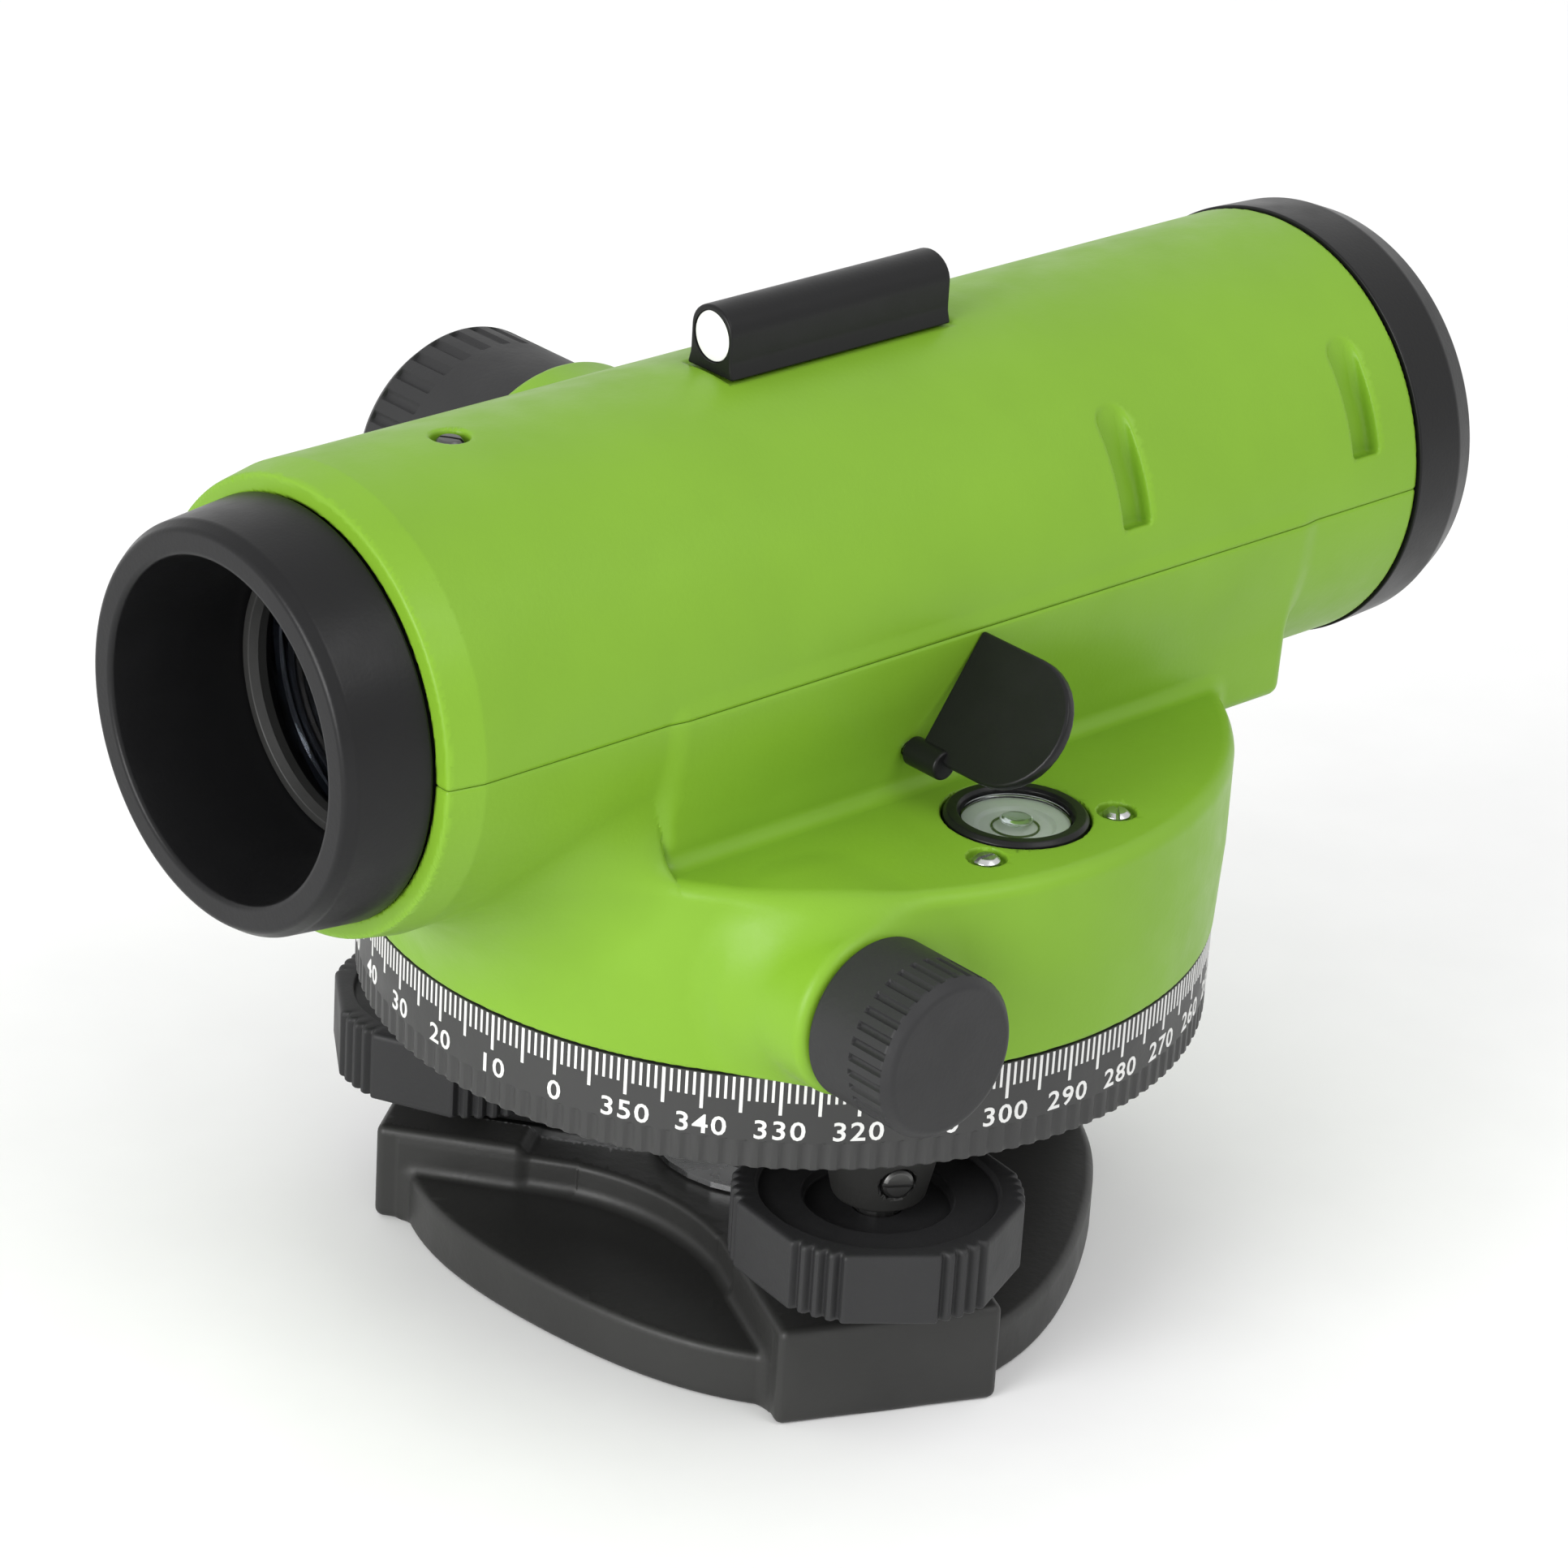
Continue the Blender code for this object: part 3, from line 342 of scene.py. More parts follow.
def housing(x, y, z):
    """Both shells as one hollow casting."""
    up = z - SIGHT_AXIS_Z
    tube_radial = np.hypot(x, up)
    radial = np.hypot(x, y)
    rim = np.clip((y - 75.2) / 4.3, 0, 1)
    tube = capped(y, tube_radial, 29.0 - 0.8 * rim, -82.0, 80.0, 0.55)
    drum_radius = 56.0 - 0.6 * np.clip((60.0 - z) / 11.5, 0, 1)
    drum = capped(z, radial, drum_radius, 40.0, DECK_Z, 2.0)
    half_width = np.interp(z, (68.0, 84.0, 93.6), (27.0, 27.6, 28.6)).astype(x.dtype)
    neck = boxed(np.abs(x) - half_width, np.abs(y + 7.9) - 53.9, np.abs(z - 81.0) - 13.0, 1.8)
    body = merged(merged(tube, neck, 2.5), drum, 2.0)
    sweep = 17.0 - 7.5 * np.clip(np.abs(x) / 30.0, 0, 1) ** 2
    front = less(merged(tube, drum, sweep), y - 45.5, 1.0)
    body = np.minimum(body, front)
    body = merged(body, capped(x, np.hypot(y - FOCUS_Y, up), 18.2, 10.0, 33.0, 1.0), 5.0)
    drive = np.hypot(y - DRIVE_Y, z - DRIVE_Z)
    body = merged(body, capped(np.abs(x), drive, 10.9, 36.0, 50.6, 1.6), 5.0)
    body = less(body, z - SKIRT_Z, 0.4)
    body = less(body, tube_radial - 25.6, 0.4)
    body = less(body, boxed(np.abs(x) - 23.5, np.abs(y + 9.5) - 48.5, np.abs(z - 89.0) - 12.0, 1.0), 0.3)
    body = less(body, capped(z, radial, 52.4, 30.0, 69.6, 1.0), 0.3)
    body = merged(body, capped(z, radial, 13.5, 46.3, 70.5, 0.4), 1.0)
    body = less(body, capped(z, radial, 10.3, 30.0, 69.4, 0.2), 0.3)
    body = less(body, capped(z, np.hypot(x - VIAL_X, y), 9.35, 60.0, 90.0), 0.3)
    for place_x, place_y in VIAL_SCREWS:
        away = np.hypot(x - place_x, y - place_y)
        body = less(body, capped(z, away, 2.5, DECK_Z - 1.2, 80.0, 0.2), 0.25)
        body = less(body, capped(z, away, 1.3, 60.0, 75.0), 0.1)
    body = less(body, drive - 2.9, 0.2)
    body = less(body, capped(-x, np.hypot(y - MIRROR_AT[1], z - MIRROR_AT[2]), 1.1, 20.0, 32.0), 0.1)
    return less(body, capped(x, np.hypot(y - FOCUS_Y, up), 3.5, 0.0, 60.0), 0.2)


def upper_shell(x, y, z):
    body = housing(x, y, z)
    body = less(body, boxed(np.abs(x) - 4.5, np.abs(y + 0.25) - 18.7, np.abs(z - 123.6) - 2.0, 0.5), 0.4)
    away = np.hypot(x - PLUG[0], y - PLUG[1])
    body = less(body, capped(z, away, 2.4, 120.6, 126.0, 0.2), 0.5)
    body = less(body, capped(z, away, 1.3, 110.0, 122.0), 0.1)
    for middle in GRIP_MIDDLES:
        body = less(body, grip(x, y, z, middle), 0.5)
    return body


def foot_frames(x, y):
    """How far a point is along and across each foot's direction."""
    for angle in FOOT_ANGLES:
        cos, sin = math.cos(math.radians(angle)), math.sin(math.radians(angle))
        yield x * cos + y * sin, y * cos - x * sin


def base(x, y, z):
    """A soft triangle with a three-armed star on it and a square boss at each foot."""
    radial = np.hypot(x, y)
    turn = np.arctan2(y, x) - math.radians(FOOT_ANGLES[0])
    flange = boxed(radial - 45.7 - 3.1 * np.cos(3 * turn), -100.0, np.abs(z - 1.0) - 3.8, 1.0)
    arms, hollows = radial - 26.7, -1e3
    for along, across in foot_frames(x, y):
        arms = np.minimum(arms, np.maximum(np.abs(across) - 14.2, np.abs(along - 23.0) - 23.0))
        hollows = np.maximum(hollows, 32.0 - np.hypot(along + 53.35, across))
    body = merged(flange, boxed(np.maximum(arms, hollows), -100.0, np.abs(z - 3.3) - 6.1, 0.9), 1.6)
    for along, across in foot_frames(x, y):
        boss = boxed(np.abs(along - 39.9) - 9.9, np.abs(across) - 14.7, np.abs(z - 4.0) - 6.8, 1.1)
        body = merged(body, boss, 1.2)
    for along, across in foot_frames(x, y):
        body = less(body, boxed(np.abs(along - 31.3) - 15.0, np.abs(across) - 8.0, np.abs(z - 13.4) - 4.0), 0.4)
        body = less(body, capped(z, np.hypot(along - FOOT_R, across), 5.3, 0.5, 20.0, 1.0), 0.4)
        body = less(body, capped(z, np.hypot(along - 13.5, across), 1.8, 2.4, 20.0), 0.2)
    return np.maximum(less(body, capped(z, radial, 7.2, -20.0, 20.0), 0.5), -LIFT - z)


def head(x, y, z):
    """The levelling head's flange and hub, with a tapered sleeve over each foot screw."""
    radial = np.hypot(x, y)
    hub = capped(z, radial, 19.5, 31.0, 44.5, 0.5)
    cone = np.interp(z, (31.0, 36.6), (17.0, 18.0)).astype(x.dtype)
    hub = np.where(z < 36.6, capped(z, radial, cone, 31.0, 44.5, 0.5), hub)
    body = merged(capped(z, radial, 47.5, 36.6, 40.6, 0.6), hub, 0.4)
    taper = np.interp(z, (SLEEVE[0], SLEEVE[0] + 0.6, 32.0), (5.6, 6.0, 7.5)).astype(x.dtype)
    for along, across in foot_frames(x, y):
        body = merged(body, capped(z, np.hypot(along - FOOT_R, across), taper, SLEEVE[0], SLEEVE[1], 0.4), 0.8)
    for along, across in foot_frames(x, y):
        body = less(body, capped(z, np.hypot(along - FOOT_R, across), 4.1, 20.0, 45.0), 0.2)
        body = less(body, capped(along, np.hypot(across, z - SET_SCREW_Z), 2.3, 46.6, 55.0), 0.2)
    return less(body, capped(z, radial, 8.3, 20.0, 60.0), 0.3)


def slope(field, points, step=0.04):
    """The field's value and its gradient at each point."""
    x, y, z = points.T
    parts = []
    for dx, dy, dz in ((step, 0, 0), (0, step, 0), (0, 0, step)):
        parts.append((field(x + dx, y + dy, z + dz) - field(x - dx, y - dy, z - dz)) / (2 * step))
    return field(x, y, z), np.stack(parts, axis=1)


def field_mesh(field, low, high, voxel):
    """Points and triangles of the field's surface, each point drawn onto it exactly."""
    x, y, z = [np.arange(a - voxel, b + 2 * voxel, voxel).astype(np.float32) for a, b in zip(low, high)]
    values = np.empty((len(x), len(y), len(z)), np.float32)
    reach = REACH * voxel
    slab = 24
    for i in range(0, len(x), slab):
        part = field(x[i:i + slab, None, None], y[None, :, None], z[None, None, :])
        values[i:i + slab] = np.clip(part, -reach, reach)
    grid = openvdb.FloatGrid(reach)
    grid.copyFromArray(values)
    points, triangles, quads = grid.convertToPolygons(isovalue=0.0, adaptivity=ADAPTIVITY)
    points = points.astype(float) * voxel + (x[0], y[0], z[0])
    for _ in range(3):
        value, gradient = slope(field, points)
        length = np.maximum((gradient**2).sum(1), 0.2)
        move = np.clip(value / length, -0.6 * voxel, 0.6 * voxel)
        points -= gradient * move[:, None]
    return points, np.concatenate([triangles, quads[:, [0, 1, 2]], quads[:, [0, 2, 3]]])


def thinned(mesh):
    """The mesh with its triangles collapsed down to the most that one piece may have."""
    count = len(mesh.polygons)
    if count <= MOST_FACES:
        return mesh
    holder = bpy.data.objects.new("thinned", mesh)
    bpy.context.scene.collection.objects.link(holder)
    modifier = holder.modifiers.new("thin", "DECIMATE")
    modifier.ratio = MOST_FACES / count
    made = bpy.data.meshes.new_from_object(holder.evaluated_get(bpy.context.evaluated_depsgraph_get()))
    bpy.data.objects.remove(holder)
    made.name = mesh.name
    return made


def shade_by(mesh, normals):
    """Each corner takes its point's normal, or its face's where the two are far apart."""
    count = len(mesh.loops)
    vertex = np.empty(count, np.int32)
    mesh.loops.foreach_get("vertex_index", vertex)
    sizes = np.empty(len(mesh.polygons), np.int32)
    mesh.polygons.foreach_get("loop_total", sizes)
    flat = np.empty(len(mesh.polygons) * 3)
    mesh.polygons.foreach_get("normal", flat)
    flat = np.repeat(flat.reshape(-1, 3), sizes, axis=0)
    chosen = normals[vertex]
    apart = (chosen * flat).sum(1) < 0.76
    chosen[apart] = flat[apart]
    mesh.normals_split_custom_set(chosen.tolist())


def cast(name, field, low, high, seam=None):
    """A field's mesh. A seam, (height, which side stays), cuts it flat there with a rolled edge."""
    points, faces = field_mesh(field, low, high, VOXEL)
    mesh = thinned(mesh_of(name, points, faces))
    if seam:
        cut_seam(mesh, *seam)
    points = np.array([v.co for v in mesh.vertices]) / MM - (0, 0, LIFT)
    _, normals = slope(field, points)
    if seam:
        height, side = seam
        rise = np.abs(points[:, 2] - height)
        near = np.clip(1 - rise / 0.45, 0, 1)
        normals /= np.maximum(np.linalg.norm(normals, axis=1, keepdims=True), 1e-9)
        points -= normals * (0.17 * near**2)[:, None]
        points[:, 2] = np.where(rise < 1e-3, height, points[:, 2])
        normals[:, 2] -= side * 0.9 * near
        scaled = (points + (0, 0, LIFT)) * MM
        mesh.vertices.foreach_set("co", scaled.ravel())
        mesh.update()
    normals /= np.maximum(np.linalg.norm(normals, axis=1, keepdims=True), 1e-9)
    mesh.shade_smooth()
    shade_by(mesh, normals)
    return mesh


def cut_seam(mesh, height, side):
    """Removes what lies beyond the seam, fills the cut and adds two loops beside it."""
    bm = bmesh.new()
    bm.from_mesh(mesh)
    made = bmesh.ops.bisect_plane(
        bm, geom=bm.verts[:] + bm.edges[:] + bm.faces[:], dist=1e-7, plane_co=(0, 0, (height + LIFT) * MM),
        plane_no=(0, 0, -side), clear_outer=True)
    rim = [item for item in made["geom_cut"] if isinstance(item, bmesh.types.BMEdge)]
    bmesh.ops.triangle_fill(bm, use_beauty=True, edges=rim)
    for offset in (0.15, 0.45):
        bmesh.ops.bisect_plane(
            bm, geom=bm.verts[:] + bm.edges[:] + bm.faces[:], dist=1e-7,
            plane_co=(0, 0, (height + LIFT + side * offset) * MM), plane_no=(0, 0, 1))
    bmesh.ops.triangulate(bm, faces=bm.faces[:])
    bmesh.ops.recalc_face_normals(bm, faces=bm.faces)
    bm.to_mesh(mesh)
    bm.free()


add("housing_lower", cast("housing_lower", housing, (-57, -83, 46), (57, 81, 94.6),
                          (SIGHT_AXIS_Z - SEAM_GAP, -1)),
    "telescope", "green_paint", ["lower_housing"])
add("housing_upper", cast("housing_upper", upper_shell, (-30, -83, 92.2), (34, 81, 123),
                          (SIGHT_AXIS_Z + SEAM_GAP, 1)),
    "telescope", "green_paint", ["upper_housing"])
add("base_casting", cast("base_casting", base, (-51, -51, -3.2), (51, 51, 11.2)), "base", "black_metal",
    ["base_plate"])
add("head_casting", cast("head_casting", head, (-50, -50, 24.4), (50, 50, 45)), "head", "black_metal",
    ["head_plate"])


# ---------------------------------------------------------------- turned pieces


def pulses(count, depth, share=0.45):
    """Even round-bottomed grooves, as a function from angle to depth."""
    def depths(angles):
        phase = (angles * count / math.tau) % 1.0
        inside = np.clip(1 - np.abs(phase - 0.5) / (share / 2), 0, 1)
        return depth * np.sqrt(1 - (1 - inside) ** 2)
    return depths


def foot_knob_depth(angles):
    """Six flats between arcs, each arc with four grooves."""
    degrees = np.degrees(angles) % 60.0
    from_flat = np.minimum(degrees, 60.0 - degrees)
    flat = 18.4 - 18.4 * math.cos(math.radians(18.0)) / np.cos(np.radians(np.minimum(from_flat, 18.0)))
    phase = ((degrees - 18.0) / 6.0) % 1.0
    inside = np.clip(1 - np.abs(phase - 0.5) / 0.26, 0, 1)
    groove = 0.75 * np.sqrt(1 - (1 - inside) ** 2)
    return np.where(from_flat < 18.0, flat, groove)


def make_circle():
    profile = [(51.6, CIRCLE_TOP), (CIRCLE_R, CIRCLE_TOP, 0.15), (CIRCLE_R, 39.6), (CIRCLE_R, 39.3),
               (CIRCLE_R, 36.4), (CIRCLE_R, CIRCLE_BOTTOM, 0.6), (51.6, CIRCLE_BOTTOM, 0.3), (51.6, 41.2, 0.3),
               (19.9, 41.2), (19.9, 43.8), (51.6, 43.8, 0.3)]
    mesh = lathe("circle_ring", profile, steps=144 * 6, ribs=(pulses(144, 0.35, 0.5), CIRCLE_BOTTOM, 39.3, 54.0))
    weigh(add("circle_ring", mesh, "circle", "black_plastic", ["graduated_circle"], "circle_band"))


def tick(points, faces, angle, width, top, bottom):
    start = len(points)
    for radius in (CIRCLE_R - 0.1, CIRCLE_R + 0.07):
        for swing, height in ((-width / 2, top), (width / 2, top), (width / 2, bottom), (-width / 2, bottom)):
            a = angle + swing / CIRCLE_R
            points.append((radius * math.cos(a), radius * math.sin(a), height))
    box = ((0, 1, 2, 3), (7, 6, 5, 4), (0, 4, 5, 1), (1, 5, 6, 2), (2, 6, 7, 3), (3, 7, 4, 0))
    faces += [[start + i for i in side] for side in box]


def number(points, faces, text, angle):
    """Solid digits bent round the circle."""
    curve = bpy.data.curves.new("digits", "FONT")
    curve.body = text
    curve.size = 3.6
    curve.extrude = 0.08
    curve.offset = 0.04
    curve.space_character = 1.12
    curve.align_x = "CENTER"
    curve.resolution_u = 3
    guide = bpy.data.objects.new("digits", curve)
    bpy.context.scene.collection.objects.link(guide)
    mesh = bpy.data.meshes.new_from_object(guide.evaluated_get(bpy.context.evaluated_depsgraph_get()))
    start = len(points)
    for vertex in mesh.vertices:
        x, y, z = vertex.co
        a = angle + x * 1.12 / CIRCLE_R
        radius = CIRCLE_R + z - 0.01
        points.append((radius * math.cos(a), radius * math.sin(a), 39.95 + y))
    faces += [[start + i for i in polygon.vertices] for polygon in mesh.polygons]
    bpy.data.objects.remove(guide)


def make_marks():
    points, faces = [], []
    for degree in range(360):
        angle = math.radians(ZERO_ANGLE - degree)
        long = degree % 5 == 0
        tick(points, faces, angle, 0.42 if long else 0.34, 48.1, 43.3 if long else 45.0)
        if degree % 10 == 0:
            number(points, faces, str(degree), angle)
    mesh = mesh_of("circle_marks", points, faces)
    mesh.shade_flat()
    bm = bmesh.new()
    bm.from_mesh(mesh)
    bmesh.ops.remove_doubles(bm, verts=bm.verts, dist=1e-7)
    bmesh.ops.recalc_face_normals(bm, faces=bm.faces)
    bm.to_mesh(mesh)
    bm.free()
    add("circle_marks", mesh, "circle", "white_plastic", material="marking_paint")


def make_foot_knobs():
    for i, (angle, phase) in enumerate(zip(FOOT_ANGLES, KNOB_TURNS), 1):
        a = math.radians(angle)
        at = (FOOT_R * math.cos(a), FOOT_R * math.sin(a), 0)
        profile = [(3.3, 15.5), (18.4, 15.5, 0.7), (18.4, 25.2, 0.8), (15.4, 25.2, 0.3), (15.1, 24.3, 0.3),
                   (9.6, 24.0, 0.3), (9.3, 22.6, 0.3), (3.3, 22.6)]
        mesh = lathe(f"foot_knob_grip_{i}", profile, at=at, steps=480, ribs=(foot_knob_depth, 15.5, 25.2, 16.5))
        spin = Matrix.Rotation(a + math.radians(phase), 4, "Z")
        turn = Matrix.Translation(Vector(at) * MM) @ spin @ Matrix.Translation(-Vector(at) * MM)
        mesh.transform(turn)
        obj = weigh(add(f"foot_knob_grip_{i}", mesh, f"foot_{i}", "black_plastic", [f"foot_knob_{i}"],
                        "grip_rubber"))
        obj.data.set_sharp_from_angle(angle=math.radians(40))


def make_drive_knobs():
    for side, tag in (("-X", "left"), ("X", "right")):
        profile = [(0, 64.9), (9.4, 64.9, 1.2), (10.4, 63.6, 0.5), (10.4, 58.4), (10.4, 58.2), (10.4, 51.3, 0.5),
                   (9.4, 50.9), (2.8, 50.9), (2.8, 61.6), (0, 61.6)]
        mesh = lathe(f"tangent_grip_{tag}", profile, side, (0, DRIVE_Y, DRIVE_Z), 32 * 12,
                     (pulses(32, 0.4), 58.25, 63.7, 9.6))
        weigh(add(f"tangent_grip_{tag}", mesh, "tangent_drive", "black_plastic", [f"tangent_knob_{tag}"],
                  "grip_rubber"), 36)
    profile = [(0, 53.9), (11.5, 53.9, 0.6), (12.2, 54.5, 0.4), (15.0, 54.5, 1.0), (16.5, 52.6, 0.8), (16.5, 52.3),
               (16.5, 45.8), (16.5, 45.5), (16.5, 34.0, 0.8), (15.0, 33.5), (3.4, 33.5), (3.4, 48.4), (0, 48.4)]
    mesh = lathe("focus_grip", profile, "X", (0, FOCUS_Y, SIGHT_AXIS_Z), 32 * 12,
                 (pulses(32, 0.5), 45.8, 52.3, 15.4))
    weigh(add("focus_grip", mesh, "focus_drive", "black_plastic", ["focus_knob"], "grip_rubber"), 36)


def make_objective():
    at = (0, 0, SIGHT_AXIS_Z)
    profile = [(26.1, 80.4, 0.4), (25.1, 90.4, 1.2), (24.1, 91.9, 1.0), (21.0, 91.9, 0.8), (18.7, 80.0),
               (18.6, 64.3), (16.0, 64.3), (16.0, 62.4), (25.2, 62.4), (25.2, 80.4)]
    mesh = lathe("objective_bezel", profile, "Y", at, 192, arc_steps=6)
    weigh(add("objective_bezel", mesh, "telescope", "black_plastic", ["objective_ring"]), 40)
    profile = [(18.3, 72.2), (18.3, 74.4, 0.2), (17.2, 74.4, 0.3), (16.5, 73.4), (16.5, 72.2)]
    mesh = lathe("objective_retainer", profile, "Y", at, 160)
    weigh(add("objective_retainer", mesh, "telescope", "black_metal", ["lens_retainer"]))
    curve = [(18.3 * i / 10, 72.4 - 2.2 * (i / 10) ** 2) for i in range(11)]
    back = [(18.3 * i / 10, 64.6 + 0.9 * (i / 10) ** 2) for i in range(10, -1, -1)]
    mesh = lathe("objective_glass", curve + back, "Y", at, 128)
    weigh(add("objective_glass", mesh, "telescope", "glass", ["objective_lens"], "lens_glass"))


def make_eyepiece():
    at = (0, 0, SIGHT_AXIS_Z)
    profile = [(12.2, -70.0), (25.2, -70.0), (25.2, -82.3), (29.3, -82.3, 0.3), (28.9, -90.3, 2.0),
               (27.4, -94.0, 1.2), (26.0, -95.0, 0.6), (23.2, -95.0, 0.8), (15.6, -90.4, 0.4), (15.2, -84.0),
               (12.2, -84.0)]
    mesh = lathe("eyepiece_cover", profile, "Y", at, 192, arc_steps=6)
    weigh(add("eyepiece_cover", mesh, "telescope", "black_plastic", ["eyepiece_mount"]), 40)
    profile = [(11.4, -84.4), (14.6, -84.4, 0.3), (14.6, -92.0), (14.6, -92.2), (14.6, -100.6), (14.6, -100.8),
               (14.6, -101.8, 0.6), (13.6, -102.6, 0.5), (10.0, -102.6, 0.6), (9.6, -100.0, 0.5), (11.4, -98.0)]
    mesh = lathe("dioptre_grip", profile, "Y", at, 40 * 10, (pulses(40, 0.5), -100.7, -92.1, 14.0))
    weigh(add("dioptre_grip", mesh, "dioptre", "black_plastic", ["dioptre_ring"], "grip_rubber"), 36)


def make_vial():
    at = (VIAL_X, 0, 0)
    profile = [(0, 65.0), (7.1, 65.0), (7.1, 73.2, 0.2), (7.4, 73.6, 0.2), (8.6, 73.6, 0.3), (9.05, 73.1, 0.3),
               (9.05, 63.5, 0.3), (0, 63.5)]
    weigh(add("vial_bezel", lathe("vial_bezel", profile, at=at, steps=128), "telescope", "black_plastic",
              ["vial_cup"]))
    dome = [(6.8 * i / 8, 73.4 - 0.6 * (i / 8) ** 2) for i in range(9)]
    under = [(6.8, 72.2)] + [(6.5 * i / 8, 72.85 - 0.55 * (i / 8) ** 2) for i in range(8, -1, -1)]
    weigh(add("vial_window", lathe("vial_window", dome + under, at=at, steps=96), "telescope", "glass",
              ["vial_glass"]))
    bowl = [(0, 71.2), (4.6, 71.2, 0.4), (5.0, 71.6, 0.2), (6.9, 71.9, 0.2), (6.9, 65.3), (0, 65.3)]
    weigh(add("vial_floor", lathe("vial_floor", bowl, at=at, steps=96), "telescope", "white_plastic"))
    ring = [(2.9 + 0.14 * math.cos(a), 71.3 + 0.14 * math.sin(a)) for a in np.linspace(0, math.tau, 9)[:-1]]
    weigh(add("vial_ring", lathe("vial_ring", ring, at=at, steps=72), "telescope", "black_metal"))
    bubble = [(2.1 * math.sin(a), 71.9 + 0.4 * math.cos(a)) for a in np.linspace(0, math.pi, 11)]
    weigh(add("vial_bubble", lathe("vial_bubble", bubble, at=(VIAL_X + 0.5, -0.6, 0), steps=48), "telescope",
              "glass"))


def slotted(name, profile, slot_top, depth, width, slot_turn, place):
    """A turned screw with a straight slot, then carried to its place by a matrix."""
    mesh = lathe(name, profile, steps=48, at=(0, 0, -LIFT))
    size = (8.0, width, depth * 2)
    bm = bmesh.new()
    bmesh.ops.create_cube(bm, size=1.0, matrix=Matrix.Rotation(slot_turn, 4, "Z")
                          @ Matrix.Diagonal((*[s * MM for s in size], 1.0)))
    bmesh.ops.translate(bm, verts=bm.verts, vec=(0, 0, slot_top * MM))
    cutter = bpy.data.meshes.new("slot")
    bm.to_mesh(cutter)
    bm.free()
    made = carved(mesh, cutter)
    made.transform(place)
    return made


def make_screws():
    head_profile = [(0, 1.05), (1.2, 1.0, 0.3), (1.75, 0.55, 0.3), (1.75, 0), (1.0, 0), (1.0, -6.0), (0, -6.0)]
    for i, (x, y) in enumerate(VIAL_SCREWS, 1):
        place = Matrix.Translation(Vector((x, y, 72.25 + LIFT)) * MM)
        mesh = slotted(f"vial_adjuster_{i}", head_profile, 1.05, 0.55, 0.5, math.radians(30 + 55 * i), place)
        weigh(add(f"vial_adjuster_{i}", mesh, "telescope", "steel", [f"vial_screw_{i}"]))
    place = Matrix.Translation(Vector((*PLUG, 121.05 + LIFT)) * MM)
    small = [(0, 0.95), (1.3, 0.9, 0.2), (1.7, 0.5, 0.2), (1.7, 0), (1.0, 0), (1.0, -3.5), (0, -3.5)]
    mesh = slotted("plug_head", small, 0.95, 0.5, 0.5, 0.6, place)
    weigh(add("plug_head", mesh, "telescope", "steel", ["plug_screw"], "dark_steel"))
    grub = [(0, 0.75), (1.6, 0.75, 0.2), (2.0, 0.45, 0.15), (2.0, -0.6), (0, -0.6)]
    for i, angle in enumerate(FOOT_ANGLES, 1):
        a = math.radians(angle)
        radius = FOOT_R + SET_SCREW_R
        at = Vector((radius * math.cos(a), radius * math.sin(a), SET_SCREW_Z + LIFT)) * MM
        place = Matrix.Translation(at) @ Matrix.Rotation(a, 4, "Z") @ Matrix.Rotation(math.pi / 2, 4, "Y")
        mesh = slotted(f"sleeve_grub_{i}", grub, 0.75, 0.5, 0.55, 0.5 + i, place)
        weigh(add(f"sleeve_grub_{i}", mesh, "head", "steel", [f"sleeve_set_screw_{i}"], "dark_steel"))


# ---------------------------------------------------------------- sight and mirror


def make_sight():
    outline = [(-4.2, 0), (4.2, 0), (3.75, 1.6), (3.7, 2.4), (3.7, 5.4)]
    outline += [(3.7 * math.cos(math.radians(d)), 5.4 + 3.25 * math.sin(math.radians(d))) for d in range(10, 171, 10)]
    outline += [(-3.7, 5.4), (-3.7, 2.4), (-3.75, 1.6)]
    turn = Matrix(((1, 0, 0), (0, 0, 1), (0, 1, 0)))
    mesh = prism("sight_shell", outline, -18.5, 18.0, 0.35, turn, (0, 0, 121.95))
    bore = lathe("bore", [(0, -30.0), (3.3, -30.0), (3.3, 30.0), (0, 30.0)], "Y", (0, 0, SIGHT_BORE_Z), 64)
    mesh = carved(mesh, bore)
    mesh.shade_smooth()
    weigh(add("sight_shell", mesh, "telescope", "black_plastic", ["sight_body"]))
    window = [(0, 17.95), (1.8, 17.9), (3.2, 17.7, 0.15), (3.2, 14.0, 0.2), (0, 14.0)]
    mesh = lathe("sight_window", window, "Y", (0, 0, SIGHT_BORE_Z), 64)
    weigh(add("sight_window", mesh, "telescope", "white_plastic", ["sight_lens"]))


def mirror_outline(inset=0.0):
    points = [(1.9 + inset, 17.0 - inset), (1.9 + inset, 1.0 + inset), (7.0, inset)]
    for d in range(-90, 91, 10):
        a = math.radians(d)
        points.append((12.6 + (8.5 - inset) * math.cos(a), 8.5 + (8.5 - inset) * math.sin(a)))
    return points


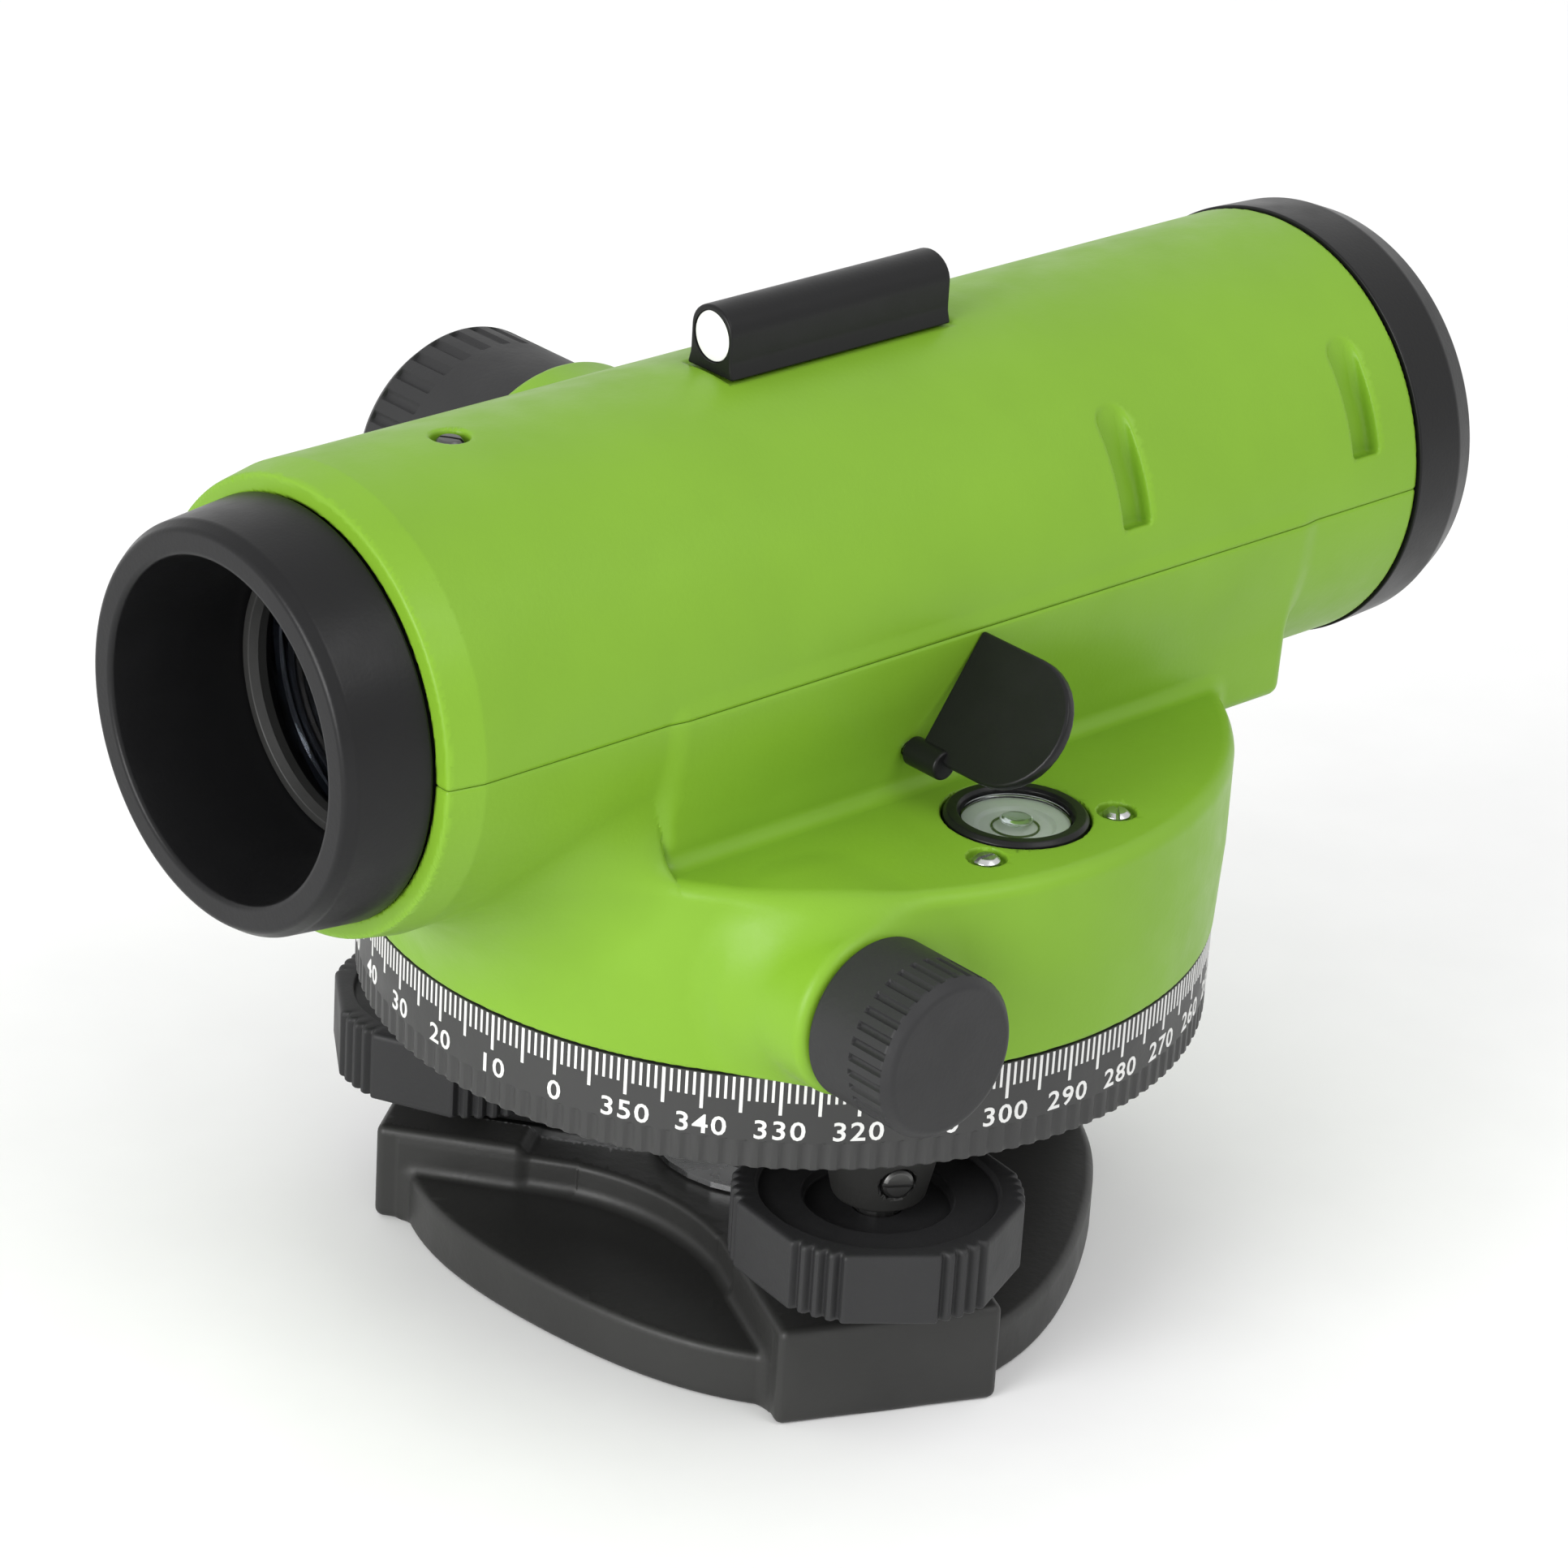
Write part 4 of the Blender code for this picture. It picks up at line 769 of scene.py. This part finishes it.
def make_mirror():
    turn = Matrix.Rotation(math.pi - math.radians(MIRROR_LEAN), 3, "X") @ Matrix.Diagonal((-1, 1, -1))
    normal = turn @ Vector((0, 0, 1))
    side = 1 if normal.z < 0 else -1
    mesh = prism("mirror_back", mirror_outline(), -0.8, 0.8, 0.45, turn, MIRROR_AT)
    weigh(add("mirror_back", mesh, "mirror", "black_plastic", ["mirror_plate"]))
    barrel = [(1.15, 0.6), (1.9, 0.6, 0.3), (1.9, 6.4, 0.4), (0, 6.4), (0, 5.3), (1.15, 5.3)]
    mesh = lathe("mirror_hinge", barrel, "-X", MIRROR_AT, 48)
    weigh(add("mirror_hinge", mesh, "mirror", "black_plastic"))
    low, high = sorted((side * 1.1, side * 1.9))
    outline = [(x, y) for x, y in mirror_outline(1.2) if y > 3.2]
    mesh = prism("mirror_face", outline, low, high, 0.1, turn, MIRROR_AT, 2)
    weigh(add("mirror_face", mesh, "mirror", "mirror", ["mirror_glass"]))


make_circle()
make_marks()
make_foot_knobs()
make_drive_knobs()
make_objective()
make_eyepiece()
make_vial()
make_screws()
make_sight()
make_mirror()


def dress_frame():
    """The frame's own nodes take a detailed finish. The foot screws' threads take a darker steel."""
    for name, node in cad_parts.items():
        for holder in node.material_slots:
            kind = "dark_steel" if name.startswith("foot_spindle") else holder.material.name.split(".")[0]
            holder.link = "OBJECT"
            holder.material = MATERIALS[kind]


dress_frame()


# ---------------------------------------------------------------- stage


def plain(name, colour, rough):
    return finish(name, colour, rough, specular=0.2, grain=60.0, bump=0.02, mottle=0.01)


def make_stage():
    bpy.ops.mesh.primitive_grid_add(x_subdivisions=8, y_subdivisions=8, size=12.0, location=(0, 0, 0))
    floor = bpy.context.object
    floor.name = "floor"
    floor.data.materials.append(plain("floor", (0.93, 0.93, 0.93), 0.7))
    world = bpy.data.worlds.new("studio")
    bpy.context.scene.world = world
    world.use_nodes = True
    world.node_tree.nodes["Background"].inputs["Color"].default_value = (1.0, 1.0, 1.0, 1.0)
    world.node_tree.nodes["Background"].inputs["Strength"].default_value = 0.92


def area_light(name, at, aim, size, power):
    light = bpy.data.lights.new(name, "AREA")
    light.shape = "DISK"
    light.size = size
    light.energy = power
    obj = bpy.data.objects.new(name, light)
    obj.location = at
    obj.rotation_euler = (Vector(aim) - Vector(at)).to_track_quat("-Z", "Y").to_euler()
    bpy.context.scene.collection.objects.link(obj)


def make_camera():
    back = Vector((-0.65872, 0.61878, 0.42802)).normalized()
    right = Vector((-0.66411, -0.74555, 0.05575)).normalized()
    up = back.cross(right).normalized()
    right = up.cross(back)
    data = bpy.data.cameras.new("camera")
    data.lens = 130.1
    data.sensor_width = 36.0
    data.clip_start = 0.05
    data.clip_end = 50.0
    camera = bpy.data.objects.new("camera", data)
    axes = Matrix((right, up, back)).transposed().to_4x4()
    camera.matrix_world = Matrix.Translation((-0.4780, 0.4503, 0.3752)) @ axes
    bpy.context.scene.collection.objects.link(camera)
    bpy.context.scene.camera = camera


make_stage()
area_light("key", (-0.15, 1.25, 0.45), (0, 0, 0.06), 0.8, 13.0)
area_light("fill", (-0.9, -0.2, 1.1), (0, 0, 0.08), 0.8, 4.0)
make_camera()
bpy.context.scene.view_settings.view_transform = "Standard"
